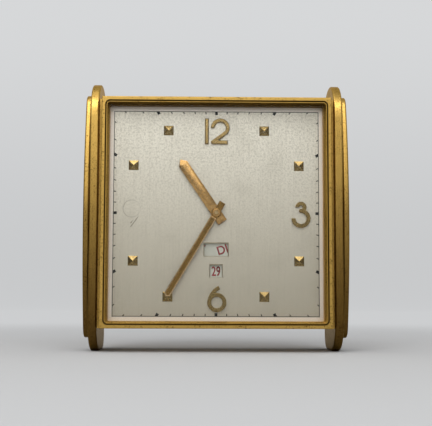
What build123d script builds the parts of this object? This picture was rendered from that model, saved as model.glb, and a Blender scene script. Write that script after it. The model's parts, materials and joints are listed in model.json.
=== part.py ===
from build123d import *
import math
import os

# Desk clock: a square dial with day and date windows in a stepped brass frame, between two pairs of side plates,
# of which the tall ones end in the feet. Behind the dial lie the calendar, the motion work and an eight-day lever
# movement, wound and set from the back.
# Pieces are drawn as seen from the front, in millimetres: x right, y up, z towards the viewer, from the middle
# of the dial's face. Depths count backwards from that face. The finished pieces are then stood up with +Z up
# and the dial towards -Y, with the origin on the ground under the middle of the clock.

# Clearances
overrun = 1.0
drop_in = 0.1
running = 0.03
sliding = 0.05
shake = 0.15
layer_gap = 0.4
clear_of_path = 0.25

# Front frame, from its opening outwards
sight_width = 80.0
sight_height = 80.3
sight_corner = 0.5
bevel_width = 0.55
bevel_depth = 1.9
bead_width = 0.3
channel_width = 0.35
channel_depth = 1.3
rim_width = 1.35
rim_step = 0.3
rim_edge = 0.3
groove_width = 1.2
groove_depth = 4.8
glass_lip = 0.9
glass_thickness = 1.2
retainer_depth = 3.8

# Case
case_wall = 1.2
case_setback = 0.2
lug_side = 7.0
lug_depth = 5.0
lug_screw_inset = 3.4
cover_space = 3.0
cover_thickness = 1.2
case_screw_radius = 1.0
case_screw_head_radius = 2.0
case_screw_head_height = 0.9
screw_slot_width = 0.5
screw_slot_depth = 0.4

# Side plates
plate_drop = 0.7
tall_plate_height = 101.4
tall_plate_depth = 31.0
tall_plate_middle = 10.3
tall_plate_thickness = 3.25
tall_plate_front_corner = 14.0
tall_plate_foot_corner = 6.0
tall_plate_top_flat = 1.0
tall_plate_edge = 0.6
outer_plate_height = 91.4
outer_plate_depth = 32.0
outer_plate_middle = 10.4
outer_plate_bow = 165.0
outer_plate_thickness = 2.1
outer_plate_corner = 5.0
outer_plate_edge = 0.6
side_screw_rise = 24.0
side_screw_front = 4.4
side_screw_back = 17.0
side_screw_bite = 1.2

# Dial
dial_thickness = 0.8
dial_hole_slack = 0.4
window_bevel = 0.35
day_window_width = 8.8
day_window_height = 4.7
day_window_drop = 13.65
date_window_width = 4.45
date_window_height = 4.5
date_window_drop = 21.65
marker_side = 3.7
marker_height = 0.65
marker_point = 0.12
marker_gap = 9.0
numeral_height = 9.8
numeral_width = 7.1
numeral_stroke = 1.45
numeral_thickness = 0.9
numeral_top_gap = 3.85
numeral_side_gap = 5.05
numeral_drop = 0.5
numeral_shift = 0.3
digit_gap = 0.8
dial_post_radius = 1.5
dial_post_place = 33.0
dial_post_tenon = 0.9

# Hands, with their angles clockwise from twelve in degrees
hour_hand_share = 0.666
hour_hand_point = 1.9
hour_hand_width = 3.75
hour_hand_tail = 4.2
hour_hand_thickness = 0.5
hour_hand_angle = 325.8
minute_hand_gap = 3.8
minute_hand_point = 1.0
minute_hand_width = 2.4
minute_hand_tail = 4.5
minute_hand_thickness = 0.45
minute_hand_angle = 210.8
minute_boss_radius = 1.75
hand_edge = 0.15
hour_hand_lift = 1.0
hand_gap = 0.5
nut_radius = 1.5
nut_height = 0.6
nut_edge = 0.2

# Movement plates
front_plate_thickness = 1.6
front_plate_slack = 0.4
plate_spacing = 12.4
back_plate_thickness = 1.4
back_plate_side = 66.0
plate_corner = 3.0
pillar_place = 29.0
pillar_radius = 2.0
pillar_tenon = 1.2
plate_screw_radius = 0.9
plate_screw_bite = 4.0

# Tooth forms, as shares of the module and, for the tooth's middle width, of its width at the pitch circle
wheel_form_shares = {"width": 0.46, "rise": 1.35, "fall": 0.9, "middle": 0.70}
leaf_form_shares = {"width": 0.36, "rise": 0.55, "fall": 1.7, "middle": 0.80}
leaf_overhang = 0.3

# Barrel and winding
barrel_teeth = 72
barrel_module = 0.45
barrel_bearing = -87.5
barrel_level = 2.2
barrel_tooth_thickness = 1.4
barrel_depth = 7.2
barrel_radius = 15.0
barrel_wall = 0.8
lid_thickness = 0.6
core_radius = 3.5
barrel_arbor_radius = 1.6
barrel_pivot_radius = 1.1
spring_turns = 8
spring_thickness = 0.35
spring_slack = 0.3
ratchet_teeth = 30
ratchet_radius = 7.0
ratchet_tooth = 0.8
ratchet_thickness = 1.0
square_side = 2.1
click_pivot_reach = 9.8
click_pivot_bearing = 150.0
click_nose_bearing = 110.0
click_width = 0.9
click_boss_radius = 1.6
click_stud_radius = 0.8
click_spring_post_reach = 14.0
click_spring_post_bearing = 104.0
click_spring_post_radius = 1.0
click_spring_tip_reach = 10.3
click_spring_tip_bearing = 127.0
click_spring_width = 0.5
key_gap = 0.8
key_hub_radius = 3.0
key_hub_length = 4.4
key_lobe_radius = 4.4
key_lobe_offset = 4.9
key_lobe_hole = 1.9
key_thickness = 1.7
key_edge = 0.4

# Going train: teeth, modules, levels behind the front plate and bearings in degrees
intermediate_leaves = 12
intermediate_teeth = 60
intermediate_module = 0.42
intermediate_bearing = 15.0
intermediate_level = 10.1
intermediate_thickness = 0.9
centre_leaves = 10
centre_teeth = 80
centre_module = 0.32
centre_level = 0.6
centre_thickness = 0.8
third_leaves = 10
third_teeth = 75
third_module = 0.28
third_level = 3.0
third_thickness = 0.7
third_bearing = 140.0
fourth_leaves = 10
fourth_teeth = 80
fourth_module = 0.24
fourth_level = 5.6
fourth_thickness = 0.7
fourth_bearing = 250.0
escape_leaves = 8
escape_level = 7.8
escape_thickness = 0.6
escape_bearing = 270.0
intermediate_arbor_radius = 0.9
centre_arbor_radius = 0.9
third_arbor_radius = 0.8
fourth_arbor_radius = 0.7
escape_arbor_radius = 0.45
pivot_radius = 0.35
spoke_width = 1.1
rim_thickness = 1.3
hub_thickness = 1.3

# Escapement
escape_teeth = 15
escape_radius = 5.0
escape_tooth = 1.3
escape_hub_radius = 1.5
escape_spoke_width = 0.8
pallet_distance = 6.4
pallet_bearing = 300.0
pallet_arbor_radius = 0.5
pallet_arm_width = 0.9
pallet_spread_angle = 55.0
pallet_thickness = 0.8
pallet_stone_width = 0.7
balance_distance = 9.0
balance_bearing = 300.0
balance_level = 9.4
balance_radius = 7.5
balance_rim_width = 1.0
balance_thickness = 1.0
balance_arm_width = 1.0
balance_hub_radius = 1.4
balance_staff_radius = 0.6
balance_pivot_radius = 0.2
roller_radius = 2.3
roller_thickness = 0.35
impulse_pin_reach = 1.8
impulse_pin_radius = 0.25
collet_radius = 1.0
hairspring_turns = 6
hairspring_radius = 4.4
hairspring_thickness = 0.08
hairspring_height = 0.4
hairspring_stud_radius = 0.45
regulator_boss_radius = 1.6
regulator_boss_height = 0.9
regulator_ring_radius = 3.0
regulator_thickness = 0.5
regulator_reach = 8.0
regulator_width = 1.0
regulator_bearing = 150.0
regulator_swing = 20.0

# Motion work and setting
centre_post_radius = 0.6
cannon_wall = 0.32
hour_pipe_wall = 0.37
cannon_leaves = 12
minute_teeth = 36
minute_leaves = 10
hour_teeth = 40
motion_module = 0.25
minute_bearing = 90.0
hour_wheel_thickness = 0.6
minute_wheel_thickness = 0.6
motion_gap = 0.8
motion_back_gap = 0.9
stud_radius = 0.6
setting_wheel_leaves = 30
setting_pinion_teeth = 14
setting_wheel_bearing = 60.0
setting_bearing = 55.0
setting_arbor_radius = 0.9
knob_gap = 0.8
knob_radius = 4.2
knob_length = 5.0
knob_flutes = 24
knob_flute_radius = 0.35
knob_edge = 0.4

# Calendar
disc_gap = 0.3
disc_thickness = 0.4
star_thickness = 0.6
day_disc_radius = 17.6
star_points = 7
star_radius = 3.6
star_tooth = 1.0
date_ring_radius = 25.0
date_ring_teeth = 31
date_tooth_reach = 18.0
date_tooth = 1.0
date_rim_radius = 19.4
ring_seat_gap = 0.1
calendar_plate_radius = 26.5
calendar_plate_thickness = 0.8
calendar_plate_hole = 5.0
calendar_leg_radius = 1.3
calendar_leg_reach = 23.5
calendar_leg_bearings = (30.0, 150.0, 270.0)
calendar_leaves = 20
calendar_teeth = 40
calendar_module = 0.36
calendar_bearing = 90.0
calendar_wheel_thickness = 0.6
calendar_pin_reach = 6.5
calendar_pin_radius = 0.35
jumper_width = 0.5
jumper_post_radius = 0.8
date_jumper_post_reach = 15.2
date_jumper_post_bearing = 235.0
date_jumper_nose_bearing = 280.0
day_jumper_post_reach = 9.0
day_jumper_post_bearing = 300.0
day_jumper_nose_bearing = 265.0

# Correcting buttons
button_place_x = 27.5
button_place_y = 20.0
button_radius = 2.2
button_height = 1.6
button_edge = 0.4
button_travel = 1.2
button_stem_radius = 1.0
button_collar_radius = 1.8
button_collar_height = 0.6
button_spring_thickness = 0.15

# Front frame and case, worked out
section_width = bevel_width + bead_width + channel_width + rim_width
frame_width = sight_width + 2 * section_width
frame_height = sight_height + 2 * section_width
case_width = frame_width + 2 * groove_width
case_height = frame_height - 2 * case_setback
inner_width = case_width - 2 * case_wall
inner_height = case_height - 2 * case_wall
glass_width = sight_width + 2 * glass_lip - 2 * drop_in
glass_height = sight_height + 2 * glass_lip - 2 * drop_in
glass_back = -retainer_depth
glass_front = glass_back - glass_thickness
bead_front = glass_front - bevel_depth
frame_front = bead_front - rim_step

# Places on the dial, from the opening inwards
numeral_rise = sight_height / 2 - numeral_top_gap - numeral_height / 2
numeral_out = sight_width / 2 - numeral_side_gap - numeral_width / 2
marker_rise = sight_height / 2 - marker_gap
marker_out = sight_width / 2 - marker_gap
minute_hand_reach = min(sight_width, sight_height) / 2 - minute_hand_gap
hour_hand_reach = minute_hand_reach * hour_hand_share

# Depths of the calendar and the motion work
disc_front = dial_thickness + disc_gap
disc_back = disc_front + disc_thickness
star_back = disc_back + star_thickness
calendar_wheel_front = star_back + layer_gap
calendar_wheel_back = calendar_wheel_front + calendar_wheel_thickness
calendar_plate_front = calendar_wheel_back + layer_gap
calendar_plate_back = calendar_plate_front + calendar_plate_thickness
hour_wheel_front = calendar_plate_back + layer_gap
hour_wheel_back = hour_wheel_front + hour_wheel_thickness
minute_wheel_front = hour_wheel_back + motion_gap
minute_wheel_back = minute_wheel_front + minute_wheel_thickness

# Depths of the movement
front_plate_front = minute_wheel_back + motion_back_gap
train_front = front_plate_front + front_plate_thickness
train_back = train_front + plate_spacing
back_plate_back = train_back + back_plate_thickness
ratchet_front = back_plate_back + layer_gap
ratchet_back = ratchet_front + ratchet_thickness
cover_front = back_plate_back + cover_space
cover_back = cover_front + cover_thickness
key_front = cover_back + key_gap
key_wing_middle = key_front + key_hub_length
key_back = key_wing_middle + key_lobe_radius

# Where the clock stands
middle_depth = (frame_front + key_back) / 2
ground_to_dial = tall_plate_height / 2 + plate_drop
stand = Pos(0, -middle_depth, ground_to_dial) * Rot(90, 0, 0)


def place(origin, reach, bearing):
    """The point at a reach and bearing, in degrees, from another."""
    angle = math.radians(bearing)
    return (origin[0] + reach * math.cos(angle), origin[1] + reach * math.sin(angle))


def angle_to(origin, target):
    """Bearing in radians from one point to another."""
    return math.atan2(target[1] - origin[1], target[0] - origin[0])


def gear_distance(teeth, mate_teeth, module):
    """Distance between the centres of two wheels in mesh."""
    return (teeth + mate_teeth) * module / 2


# Centres of the movement, as seen from the front
centre = (0.0, 0.0)
intermediate_centre = place(
    centre, gear_distance(intermediate_teeth, centre_leaves, intermediate_module), intermediate_bearing
)
barrel_centre = place(
    intermediate_centre, gear_distance(barrel_teeth, intermediate_leaves, barrel_module), barrel_bearing
)
third_centre = place(centre, gear_distance(centre_teeth, third_leaves, centre_module), third_bearing)
fourth_centre = place(third_centre, gear_distance(third_teeth, fourth_leaves, third_module), fourth_bearing)
escape_centre = place(fourth_centre, gear_distance(fourth_teeth, escape_leaves, fourth_module), escape_bearing)
pallet_centre = place(escape_centre, pallet_distance, pallet_bearing)
balance_centre = place(pallet_centre, balance_distance, balance_bearing)
motion_distance = gear_distance(cannon_leaves, minute_teeth, motion_module)
hour_module = 2 * motion_distance / (minute_leaves + hour_teeth)
minute_centre = place(centre, motion_distance, minute_bearing)
setting_wheel_centre = place(
    minute_centre, gear_distance(minute_teeth, setting_wheel_leaves, motion_module), setting_wheel_bearing
)
setting_centre = place(
    setting_wheel_centre,
    gear_distance(setting_wheel_leaves, setting_pinion_teeth, motion_module),
    setting_bearing,
)
calendar_centre = place(centre, gear_distance(calendar_leaves, calendar_teeth, calendar_module), calendar_bearing)
click_centre = place(barrel_centre, click_pivot_reach, click_pivot_bearing)
button_centres = {"date": (-button_place_x, button_place_y), "day": (button_place_x, button_place_y)}

# Radii of the pipes on the centre line
cannon_bore = centre_post_radius + running
cannon_radius = cannon_bore + cannon_wall
hour_pipe_bore = cannon_radius + running
hour_pipe_radius = hour_pipe_bore + hour_pipe_wall


def slab(sketch, front, back):
    """A flat piece of the sketch's outline between two depths."""
    return extrude(Pos(0, 0, -back) * sketch, amount=back - front, dir=(0, 0, 1))


def rod(point, radius, front, back):
    """A round bar along the depth."""
    return slab(Pos(*point) * Circle(radius), front, back)


def bar(first, second, width):
    """A round-ended strip between two points."""
    middle = ((first[0] + second[0]) / 2, (first[1] + second[1]) / 2)
    turn = math.degrees(angle_to(first, second))
    return Pos(*middle) * Rot(0, 0, turn) * SlotCenterToCenter(math.dist(first, second), width)


def corners(x, y):
    """The four corners of a rectangle about the middle."""
    return [(x, y), (-x, y), (-x, -y), (x, -y)]


def screw(point, radius, head_radius, head_front, head_back, tip, inset=drop_in):
    """A slotted screw along the depth, driven from behind, with its shank a little slack in its hole."""
    shank = rod(point, radius - inset, tip, head_front)
    head = rod(point, head_radius, head_front, head_back)
    slot = slab(
        Pos(*point) * Rectangle(2 * head_radius + overrun, screw_slot_width),
        head_back - screw_slot_depth,
        head_back + overrun,
    )
    return shank + head - slot


def on_circle(radius, angle):
    """A point on a circle about the middle."""
    return (radius * math.cos(angle), radius * math.sin(angle))


def tooth_wire(teeth, module, form, turn):
    """The outline of a clock wheel: radial flanks below the pitch circle and pointed arches above it."""
    pitch = teeth * module / 2
    root = pitch - form["fall"] * module
    middle = pitch + form["rise"] * module / 2
    tip = pitch + form["rise"] * module
    half = form["width"] * math.pi / teeth
    edges = []
    for tooth in range(teeth):
        axis = turn + tooth * 2 * math.pi / teeth
        following = axis + 2 * math.pi / teeth
        rising = on_circle(pitch, axis - half)
        falling = on_circle(pitch, axis + half)
        point = on_circle(tip, axis)
        foot = on_circle(root, axis + half)
        edges.append(Line(on_circle(root, axis - half), rising))
        edges.append(ThreePointArc(rising, on_circle(middle, axis - half * form["middle"]), point))
        edges.append(ThreePointArc(point, on_circle(middle, axis + half * form["middle"]), falling))
        edges.append(Line(falling, foot))
        edges.append(Line(foot, on_circle(root, following - half)))
    return Wire(edges)


def point_wire(points):
    """A closed outline of straight edges."""
    return Wire(Polyline(*points, close=True).edges())


def circle_wire(radius):
    """A round outline."""
    return Wire(Edge.make_circle(radius))


def spoke_wires(spokes, inner, outer, width):
    """Openings between the spokes of a wheel."""
    wires = []
    for spoke in range(spokes):
        start = spoke * 2 * math.pi / spokes
        finish = start + 2 * math.pi / spokes
        outer_start = start + math.asin(width / 2 / outer)
        outer_finish = finish - math.asin(width / 2 / outer)
        inner_start = start + math.asin(width / 2 / inner)
        inner_finish = finish - math.asin(width / 2 / inner)
        half = (start + finish) / 2
        first, second = on_circle(outer, outer_start), on_circle(outer, outer_finish)
        third, fourth = on_circle(inner, inner_finish), on_circle(inner, inner_start)
        edges = [
            ThreePointArc(first, on_circle(outer, half), second),
            Line(second, third),
            ThreePointArc(third, on_circle(inner, half), fourth),
            Line(fourth, first),
        ]
        wires.append(Wire(edges))
    return wires


def meshed_turn(turn, teeth, mate_teeth, line):
    """The turn of a mate whose tooth space faces a tooth, along a line of centres, all in radians."""
    half_tooth_share = 0.5
    offset = (turn - line) * teeth / (2 * math.pi) + half_tooth_share
    return line + math.pi - offset * 2 * math.pi / mate_teeth


def train_wheel(point, teeth, module, turn, bore, spokes, level, thickness):
    """A spoked brass wheel of the going train."""
    root = (teeth / 2 - wheel_form_shares["fall"]) * module
    openings = spoke_wires(spokes, bore + hub_thickness, root - rim_thickness, spoke_width)
    face = Face(tooth_wire(teeth, module, wheel_form_shares, turn), [circle_wire(bore)] + openings)
    return slab(Pos(*point) * face, train_front + level, train_front + level + thickness)


def leaves(point, count, module, turn, front, back):
    """The leaves of a pinion."""
    return slab(Pos(*point) * Face(tooth_wire(count, module, leaf_form_shares, turn)), front, back)


def arbor(point, radius, end_radius, front_end=front_plate_front, back_end=back_plate_back):
    """A steel arbor between the plates, with a thinner pivot at each end."""
    body = rod(point, radius, train_front + shake, train_back - shake)
    return body + rod(point, end_radius, front_end, back_end)


def pinion(point, count, module, turn, radius, level, thickness, end_radius=pivot_radius):
    """An arbor with leaves cut on it that overhang the wheel they meet."""
    front = train_front + level - leaf_overhang
    back = train_front + level + thickness + leaf_overhang
    return arbor(point, radius, end_radius) + leaves(point, count, module, turn, front, back)


def frame_opening(margin):
    """Outline of the opening, grown by a margin."""
    return RectangleRounded(sight_width + 2 * margin, sight_height + 2 * margin, sight_corner + margin)


def front_frame():
    """Square frame: a rim, a channel, a bead, a sloping inner wall and a rebate behind for the glass."""
    flange = Rectangle(case_width, frame_height)
    rim = Rectangle(frame_width, frame_height)
    frame = slab(rim, frame_front, 0) + slab(flange, frame_front + groove_depth, 0)
    front_edges = frame.faces().sort_by(Axis.Z)[-1].edges()
    frame = fillet(front_edges, rim_edge)
    bead = frame_opening(bevel_width + bead_width)
    channel = frame_opening(bevel_width + bead_width + channel_width) - bead
    narrow = frame_opening(0)
    rebate = Rectangle(sight_width + 2 * glass_lip, sight_height + 2 * glass_lip)
    slope = loft([Pos(0, 0, -bead_front) * frame_opening(bevel_width), Pos(0, 0, -glass_front) * narrow])
    frame -= slab(channel, frame_front - overrun, frame_front + channel_depth)
    frame -= slab(bead, frame_front - overrun, bead_front)
    frame -= slope
    frame -= slab(narrow, glass_front - overrun, glass_front + overrun)
    frame -= slab(rebate, glass_front, overrun)
    return frame


def glass():
    """Flat front glass."""
    return slab(Rectangle(glass_width, glass_height), glass_front, glass_back)


def glass_retainer():
    """Ring that holds the glass forward and the dial back."""
    return slab(Rectangle(glass_width, glass_height) - frame_opening(0), glass_back, 0)


def lug_places():
    """Screw places in the corner lugs of the case."""
    return corners(inner_width / 2 - lug_screw_inset, inner_height / 2 - lug_screw_inset)


def side_screw_places():
    """Rise and depth of the screws that hold the side plates."""
    depths = (side_screw_front, side_screw_back)
    return [(rise, depth) for rise in (-side_screw_rise, side_screw_rise) for depth in depths]


def cross_rod(rise, depth, radius, start, finish):
    """A round bar along x."""
    middle = Pos((start + finish) / 2, rise, -depth)
    return middle * Rot(0, 90, 0) * Cylinder(radius, abs(finish - start))


def case_band():
    """Four-walled case body with corner lugs for the movement in front and for the cover behind."""
    outer = Rectangle(case_width, case_height)
    inner = Rectangle(inner_width, inner_height)
    band = slab(outer - inner, 0, cover_front)
    lug_middles = corners((inner_width - lug_side) / 2, (inner_height - lug_side) / 2)
    for point in lug_middles:
        band += slab(Pos(*point) * Rectangle(lug_side, lug_side), front_plate_front - lug_depth, front_plate_front)
        band += slab(Pos(*point) * Rectangle(lug_side, lug_side), cover_front - lug_depth, cover_front)
    for point in lug_places():
        band -= rod(point, case_screw_radius, front_plate_front - lug_depth - overrun, cover_front + overrun)
    for rise, depth in side_screw_places():
        band -= cross_rod(rise, depth, case_screw_radius, -case_width, case_width)
    return band


def side_plate(outline, thickness, edge, inner_x, side):
    """A plate of an outline of height and depth, with rounded edges."""
    plate = extrude(Plane.YZ.offset(side * inner_x) * outline, amount=side * thickness)
    rims = plate.edges().group_by(Axis.X)
    return fillet(rims[0] + rims[-1], edge)


def tall_plate(side):
    """Tall inner side plate with a round top, and a foot below with a flat in its middle."""
    inner_x = case_width / 2
    outline = Rectangle(tall_plate_height, tall_plate_depth)
    outline = fillet(outline.vertices().group_by(Axis.Y)[-1], tall_plate_front_corner)
    top_corner = tall_plate_depth - tall_plate_front_corner - tall_plate_top_flat
    outline = fillet(outline.vertices().group_by(Axis.Y)[0].sort_by(Axis.X)[-1], top_corner)
    outline = fillet(outline.vertices().group_by(Axis.Y)[0].sort_by(Axis.X)[0], tall_plate_foot_corner)
    outline = Pos(-plate_drop, -tall_plate_middle) * outline
    plate = side_plate(outline, tall_plate_thickness, tall_plate_edge, inner_x, side)
    for rise, depth in side_screw_places():
        plate -= cross_rod(rise, depth, case_screw_radius, 0, side * case_width)
    return plate


def outer_plate(side):
    """Shorter outer side plate, bowed at the front and back, with blind holes for the screws."""
    inner_x = case_width / 2 + tall_plate_thickness
    bow_middle = outer_plate_bow - outer_plate_depth / 2
    outline = Rectangle(outer_plate_height, outer_plate_depth)
    outline &= Pos(0, bow_middle) * Circle(outer_plate_bow)
    outline &= Pos(0, -bow_middle) * Circle(outer_plate_bow)
    outline = Pos(-plate_drop, -outer_plate_middle) * fillet(outline.vertices(), outer_plate_corner)
    plate = side_plate(outline, outer_plate_thickness, outer_plate_edge, inner_x, side)
    for rise, depth in side_screw_places():
        plate -= cross_rod(rise, depth, case_screw_radius, 0, side * (inner_x + side_screw_bite + drop_in))
    return plate


def side_plate_screws():
    """Screws from inside the case through the tall plate into the outer plate."""
    screws = []
    inside = inner_width / 2
    tip = case_width / 2 + tall_plate_thickness + side_screw_bite
    for side in (-1, 1):
        for rise, depth in side_screw_places():
            shank = cross_rod(rise, depth, case_screw_radius - drop_in, side * inside, side * tip)
            head_inside = side * (inside - case_screw_head_height)
            head = cross_rod(rise, depth, case_screw_head_radius, head_inside, side * inside)
            screws.append(shank + head)
    return screws


def cover_slot():
    """Curved opening in the back cover over the end of the regulator."""
    start = place(balance_centre, regulator_reach, regulator_bearing - regulator_swing)
    finish = place(balance_centre, regulator_reach, regulator_bearing + regulator_swing)
    return bar(start, finish, 3 * regulator_width)


def back_cover():
    """Flat back cover with openings for the key, the knob, the buttons and the regulator."""
    cover = slab(Rectangle(case_width, case_height), cover_front, cover_back)
    front, back = cover_front - overrun, cover_back + overrun
    for point in lug_places():
        cover -= rod(point, case_screw_radius, front, back)
    cover -= rod(barrel_centre, barrel_arbor_radius + clear_of_path, front, back)
    cover -= rod(setting_centre, setting_arbor_radius + sliding, front, back)
    for point in button_centres.values():
        cover -= rod(point, button_stem_radius + sliding, front, back)
    cover -= slab(cover_slot(), front, back)
    return cover


def back_cover_screws():
    """Slotted screws that hold the cover to the rear lugs."""
    tip = cover_front - lug_depth
    head_back = cover_back + case_screw_head_height
    return [
        screw(point, case_screw_radius, case_screw_head_radius, cover_back, head_back, tip)
        for point in lug_places()
    ]


def dial():
    """Dial plate with a centre hole and two windows that are bevelled from the front."""
    plate = slab(Rectangle(inner_width - 2 * drop_in, inner_height - 2 * drop_in), 0, dial_thickness)
    plate -= rod(centre, hour_pipe_radius + dial_hole_slack, -overrun, dial_thickness + overrun)
    windows = [
        (day_window_width, day_window_height, day_window_drop),
        (date_window_width, date_window_height, date_window_drop),
    ]
    for width, height, drop in windows:
        plate -= slab(Pos(0, -drop) * Rectangle(width, height), -overrun, dial_thickness + overrun)
        mouth = Pos(0, -drop) * Rectangle(width + 2 * window_bevel, height + 2 * window_bevel)
        throat = Pos(0, -drop, -window_bevel) * Rectangle(width, height)
        plate -= loft([mouth, throat])
    return plate


def dial_posts():
    """Posts that carry the dial on the front plate, with thinner ends through the plate."""
    posts = []
    for point in corners(dial_post_place, dial_post_place):
        post = rod(point, dial_post_radius, dial_thickness, front_plate_front)
        posts.append(post + rod(point, dial_post_tenon, dial_thickness, train_front))
    return posts


def stroke(edges, joints):
    """A numeral's stroke of even width along edges, rounded at its inner joints."""
    shape = Sketch()
    for edge in edges:
        shape += trace(edge, numeral_stroke)
    for point in joints:
        shape += Pos(*point) * Circle(numeral_stroke / 2)
    return shape


def digit_one():
    """Plain upright bar."""
    return Rectangle(numeral_stroke, numeral_height)


def digit_two():
    """Round top, straight slope and flat base."""
    half_width = (numeral_width - numeral_stroke) / 2
    half_height = (numeral_height - numeral_stroke) / 2
    shoulder_degrees = 40
    top_middle = (0, half_height - half_width)
    top = CenterArc(top_middle, half_width, 180, -180 - shoulder_degrees)
    shoulder = place(top_middle, half_width, -shoulder_degrees)
    left_foot = (-half_width, -half_height)
    slope = Line(shoulder, left_foot)
    base = Line(left_foot, (half_width, -half_height))
    return stroke([top, slope, base], [shoulder, left_foot])


def digit_three():
    """Small upper bowl on a large lower bowl."""
    half_height = (numeral_height - numeral_stroke) / 2
    lower_radius = (numeral_width - numeral_stroke) / 2
    upper_radius = half_height - lower_radius
    lower = CenterArc((0, lower_radius - half_height), lower_radius, 90, -270)
    upper = CenterArc((0, half_height - upper_radius), upper_radius, 180, -270)
    waist = (0, 2 * lower_radius - half_height)
    return stroke([upper, lower], [waist])


def digit_six():
    """Round bowl with a leaning tail."""
    radius = (numeral_width - numeral_stroke) / 2
    half_height = (numeral_height - numeral_stroke) / 2
    bowl_middle = (0, radius - half_height)
    tail_lean_share = 0.3
    tail_bow_share = 0.72
    left = (-radius, bowl_middle[1])
    bend = (-radius * tail_bow_share, half_height * tail_lean_share)
    tip = (radius * tail_lean_share, half_height)
    ring = Pos(*bowl_middle) * (Circle(radius + numeral_stroke / 2) - Circle(radius - numeral_stroke / 2))
    return ring + trace(ThreePointArc(left, bend, tip), numeral_stroke)


def numeral(shape, x, y):
    """An applied numeral standing on the dial."""
    return slab(Pos(x + numeral_shift, y - numeral_drop) * shape, -numeral_thickness, 0)


def numeral_twelve():
    """The digits one and two side by side, as two pieces."""
    total = numeral_stroke + digit_gap + numeral_width
    one_x = (numeral_stroke - total) / 2
    two_x = (total - numeral_width) / 2
    return [numeral(digit_one(), one_x, numeral_rise), numeral(digit_two(), two_x, numeral_rise)]


def hour_markers():
    """Eight pyramids on a square, at the hours without a numeral."""
    slope = math.tan(math.radians(30))
    markers = []
    for point in corners(marker_rise * slope, marker_rise) + corners(marker_out, marker_out * slope):
        base = Rectangle(marker_side, marker_side)
        point_face = Pos(0, 0, marker_height) * Rectangle(marker_point, marker_point)
        markers.append(Pos(*point) * loft([base, point_face]))
    return markers


def hand(reach, point, width, tail, thickness, boss, bore, lift, turn):
    """A straight hand with a pointed end and a square tail, edges eased in front."""
    half = width / 2
    outline = [(-half, -tail), (half, -tail), (half, reach - point), (0, reach), (-half, reach - point)]
    blade = make_face(Polyline(*outline, close=True)) + Circle(boss)
    body = slab(Rot(0, 0, -turn) * blade, -lift - thickness, -lift)
    body = chamfer(body.faces().sort_by(Axis.Z)[-1].edges(), hand_edge)
    return body - rod(centre, bore, -lift - thickness - overrun, -lift + overrun)


def hour_hand():
    """Broad hour hand on the hour wheel's pipe."""
    return hand(
        hour_hand_reach,
        hour_hand_point,
        hour_hand_width,
        hour_hand_tail,
        hour_hand_thickness,
        hour_hand_width / 2,
        hour_pipe_radius,
        hour_hand_lift,
        hour_hand_angle,
    )


minute_hand_lift = hour_hand_lift + hour_hand_thickness + hand_gap
hand_stack = minute_hand_lift + minute_hand_thickness


def minute_hand():
    """Slim minute hand on the cannon pinion."""
    return hand(
        minute_hand_reach,
        minute_hand_point,
        minute_hand_width,
        minute_hand_tail,
        minute_hand_thickness,
        minute_boss_radius,
        cannon_radius,
        minute_hand_lift,
        minute_hand_angle,
    )


def hand_nut():
    """Round nut on the end of the centre post."""
    nut = rod(centre, nut_radius, -hand_stack - nut_height, -hand_stack)
    nut = fillet(nut.faces().sort_by(Axis.Z)[-1].edges(), nut_edge)
    return nut - rod(centre, centre_post_radius, -hand_stack - nut_height - overrun, -hand_stack + overrun)


def front_plate():
    """Front movement plate, with pivot holes and the studs of the motion work."""
    outline = RectangleRounded(inner_width - 2 * front_plate_slack, inner_height - 2 * front_plate_slack, plate_corner)
    plate = slab(outline, front_plate_front, train_front)
    plate += rod(minute_centre, stud_radius, hour_wheel_front, front_plate_front)
    plate += rod(setting_wheel_centre, stud_radius, minute_wheel_front, front_plate_front)
    holes = [(point, pivot_radius + running) for point in (intermediate_centre, third_centre, fourth_centre)]
    holes += [(escape_centre, pivot_radius + running), (pallet_centre, pivot_radius + running)]
    holes += [(balance_centre, balance_pivot_radius + running), (centre, centre_post_radius + running)]
    holes += [(barrel_centre, barrel_pivot_radius + running), (setting_centre, setting_arbor_radius + running)]
    holes += [(point, button_stem_radius + sliding) for point in button_centres.values()]
    holes += [(point, pillar_tenon) for point in corners(pillar_place, pillar_place)]
    holes += [(point, dial_post_tenon) for point in corners(dial_post_place, dial_post_place)]
    holes += [(point, case_screw_radius) for point in lug_places()]
    holes += [(place(centre, calendar_leg_reach, bearing), dial_post_tenon) for bearing in calendar_leg_bearings]
    for point, radius in holes:
        plate -= rod(point, radius, front_plate_front - overrun, train_front + overrun)
    return plate


def back_plate():
    """Back movement plate, with pivot holes, the click stud and the regulator boss."""
    plate = slab(RectangleRounded(back_plate_side, back_plate_side, plate_corner), train_back, back_plate_back)
    holes = [(point, pivot_radius + running) for point in (intermediate_centre, third_centre, fourth_centre)]
    holes += [(escape_centre, pivot_radius + running), (pallet_centre, pivot_radius + running)]
    holes += [(balance_centre, balance_pivot_radius + running), (centre, pivot_radius + running)]
    holes += [(barrel_centre, barrel_arbor_radius + running), (setting_centre, setting_arbor_radius + running)]
    holes += [(point, button_stem_radius + sliding) for point in button_centres.values()]
    holes += [(point, plate_screw_radius) for point in corners(pillar_place, pillar_place)]
    for point, radius in holes:
        plate -= rod(point, radius, train_back - overrun, back_plate_back + overrun)
    plate += rod(click_centre, click_stud_radius, back_plate_back, ratchet_back)
    plate += rod(balance_centre, regulator_boss_radius, back_plate_back, back_plate_back + regulator_boss_height)
    return plate


def movement_pillars():
    """Pillars between the plates, riveted in front and tapped behind."""
    pillars = []
    for point in corners(pillar_place, pillar_place):
        pillar = rod(point, pillar_radius, train_front, train_back)
        pillar += rod(point, pillar_tenon, front_plate_front, train_front)
        pillar -= rod(point, plate_screw_radius, train_back - plate_screw_bite - overrun, train_back + overrun)
        pillars.append(pillar)
    return pillars


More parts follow.
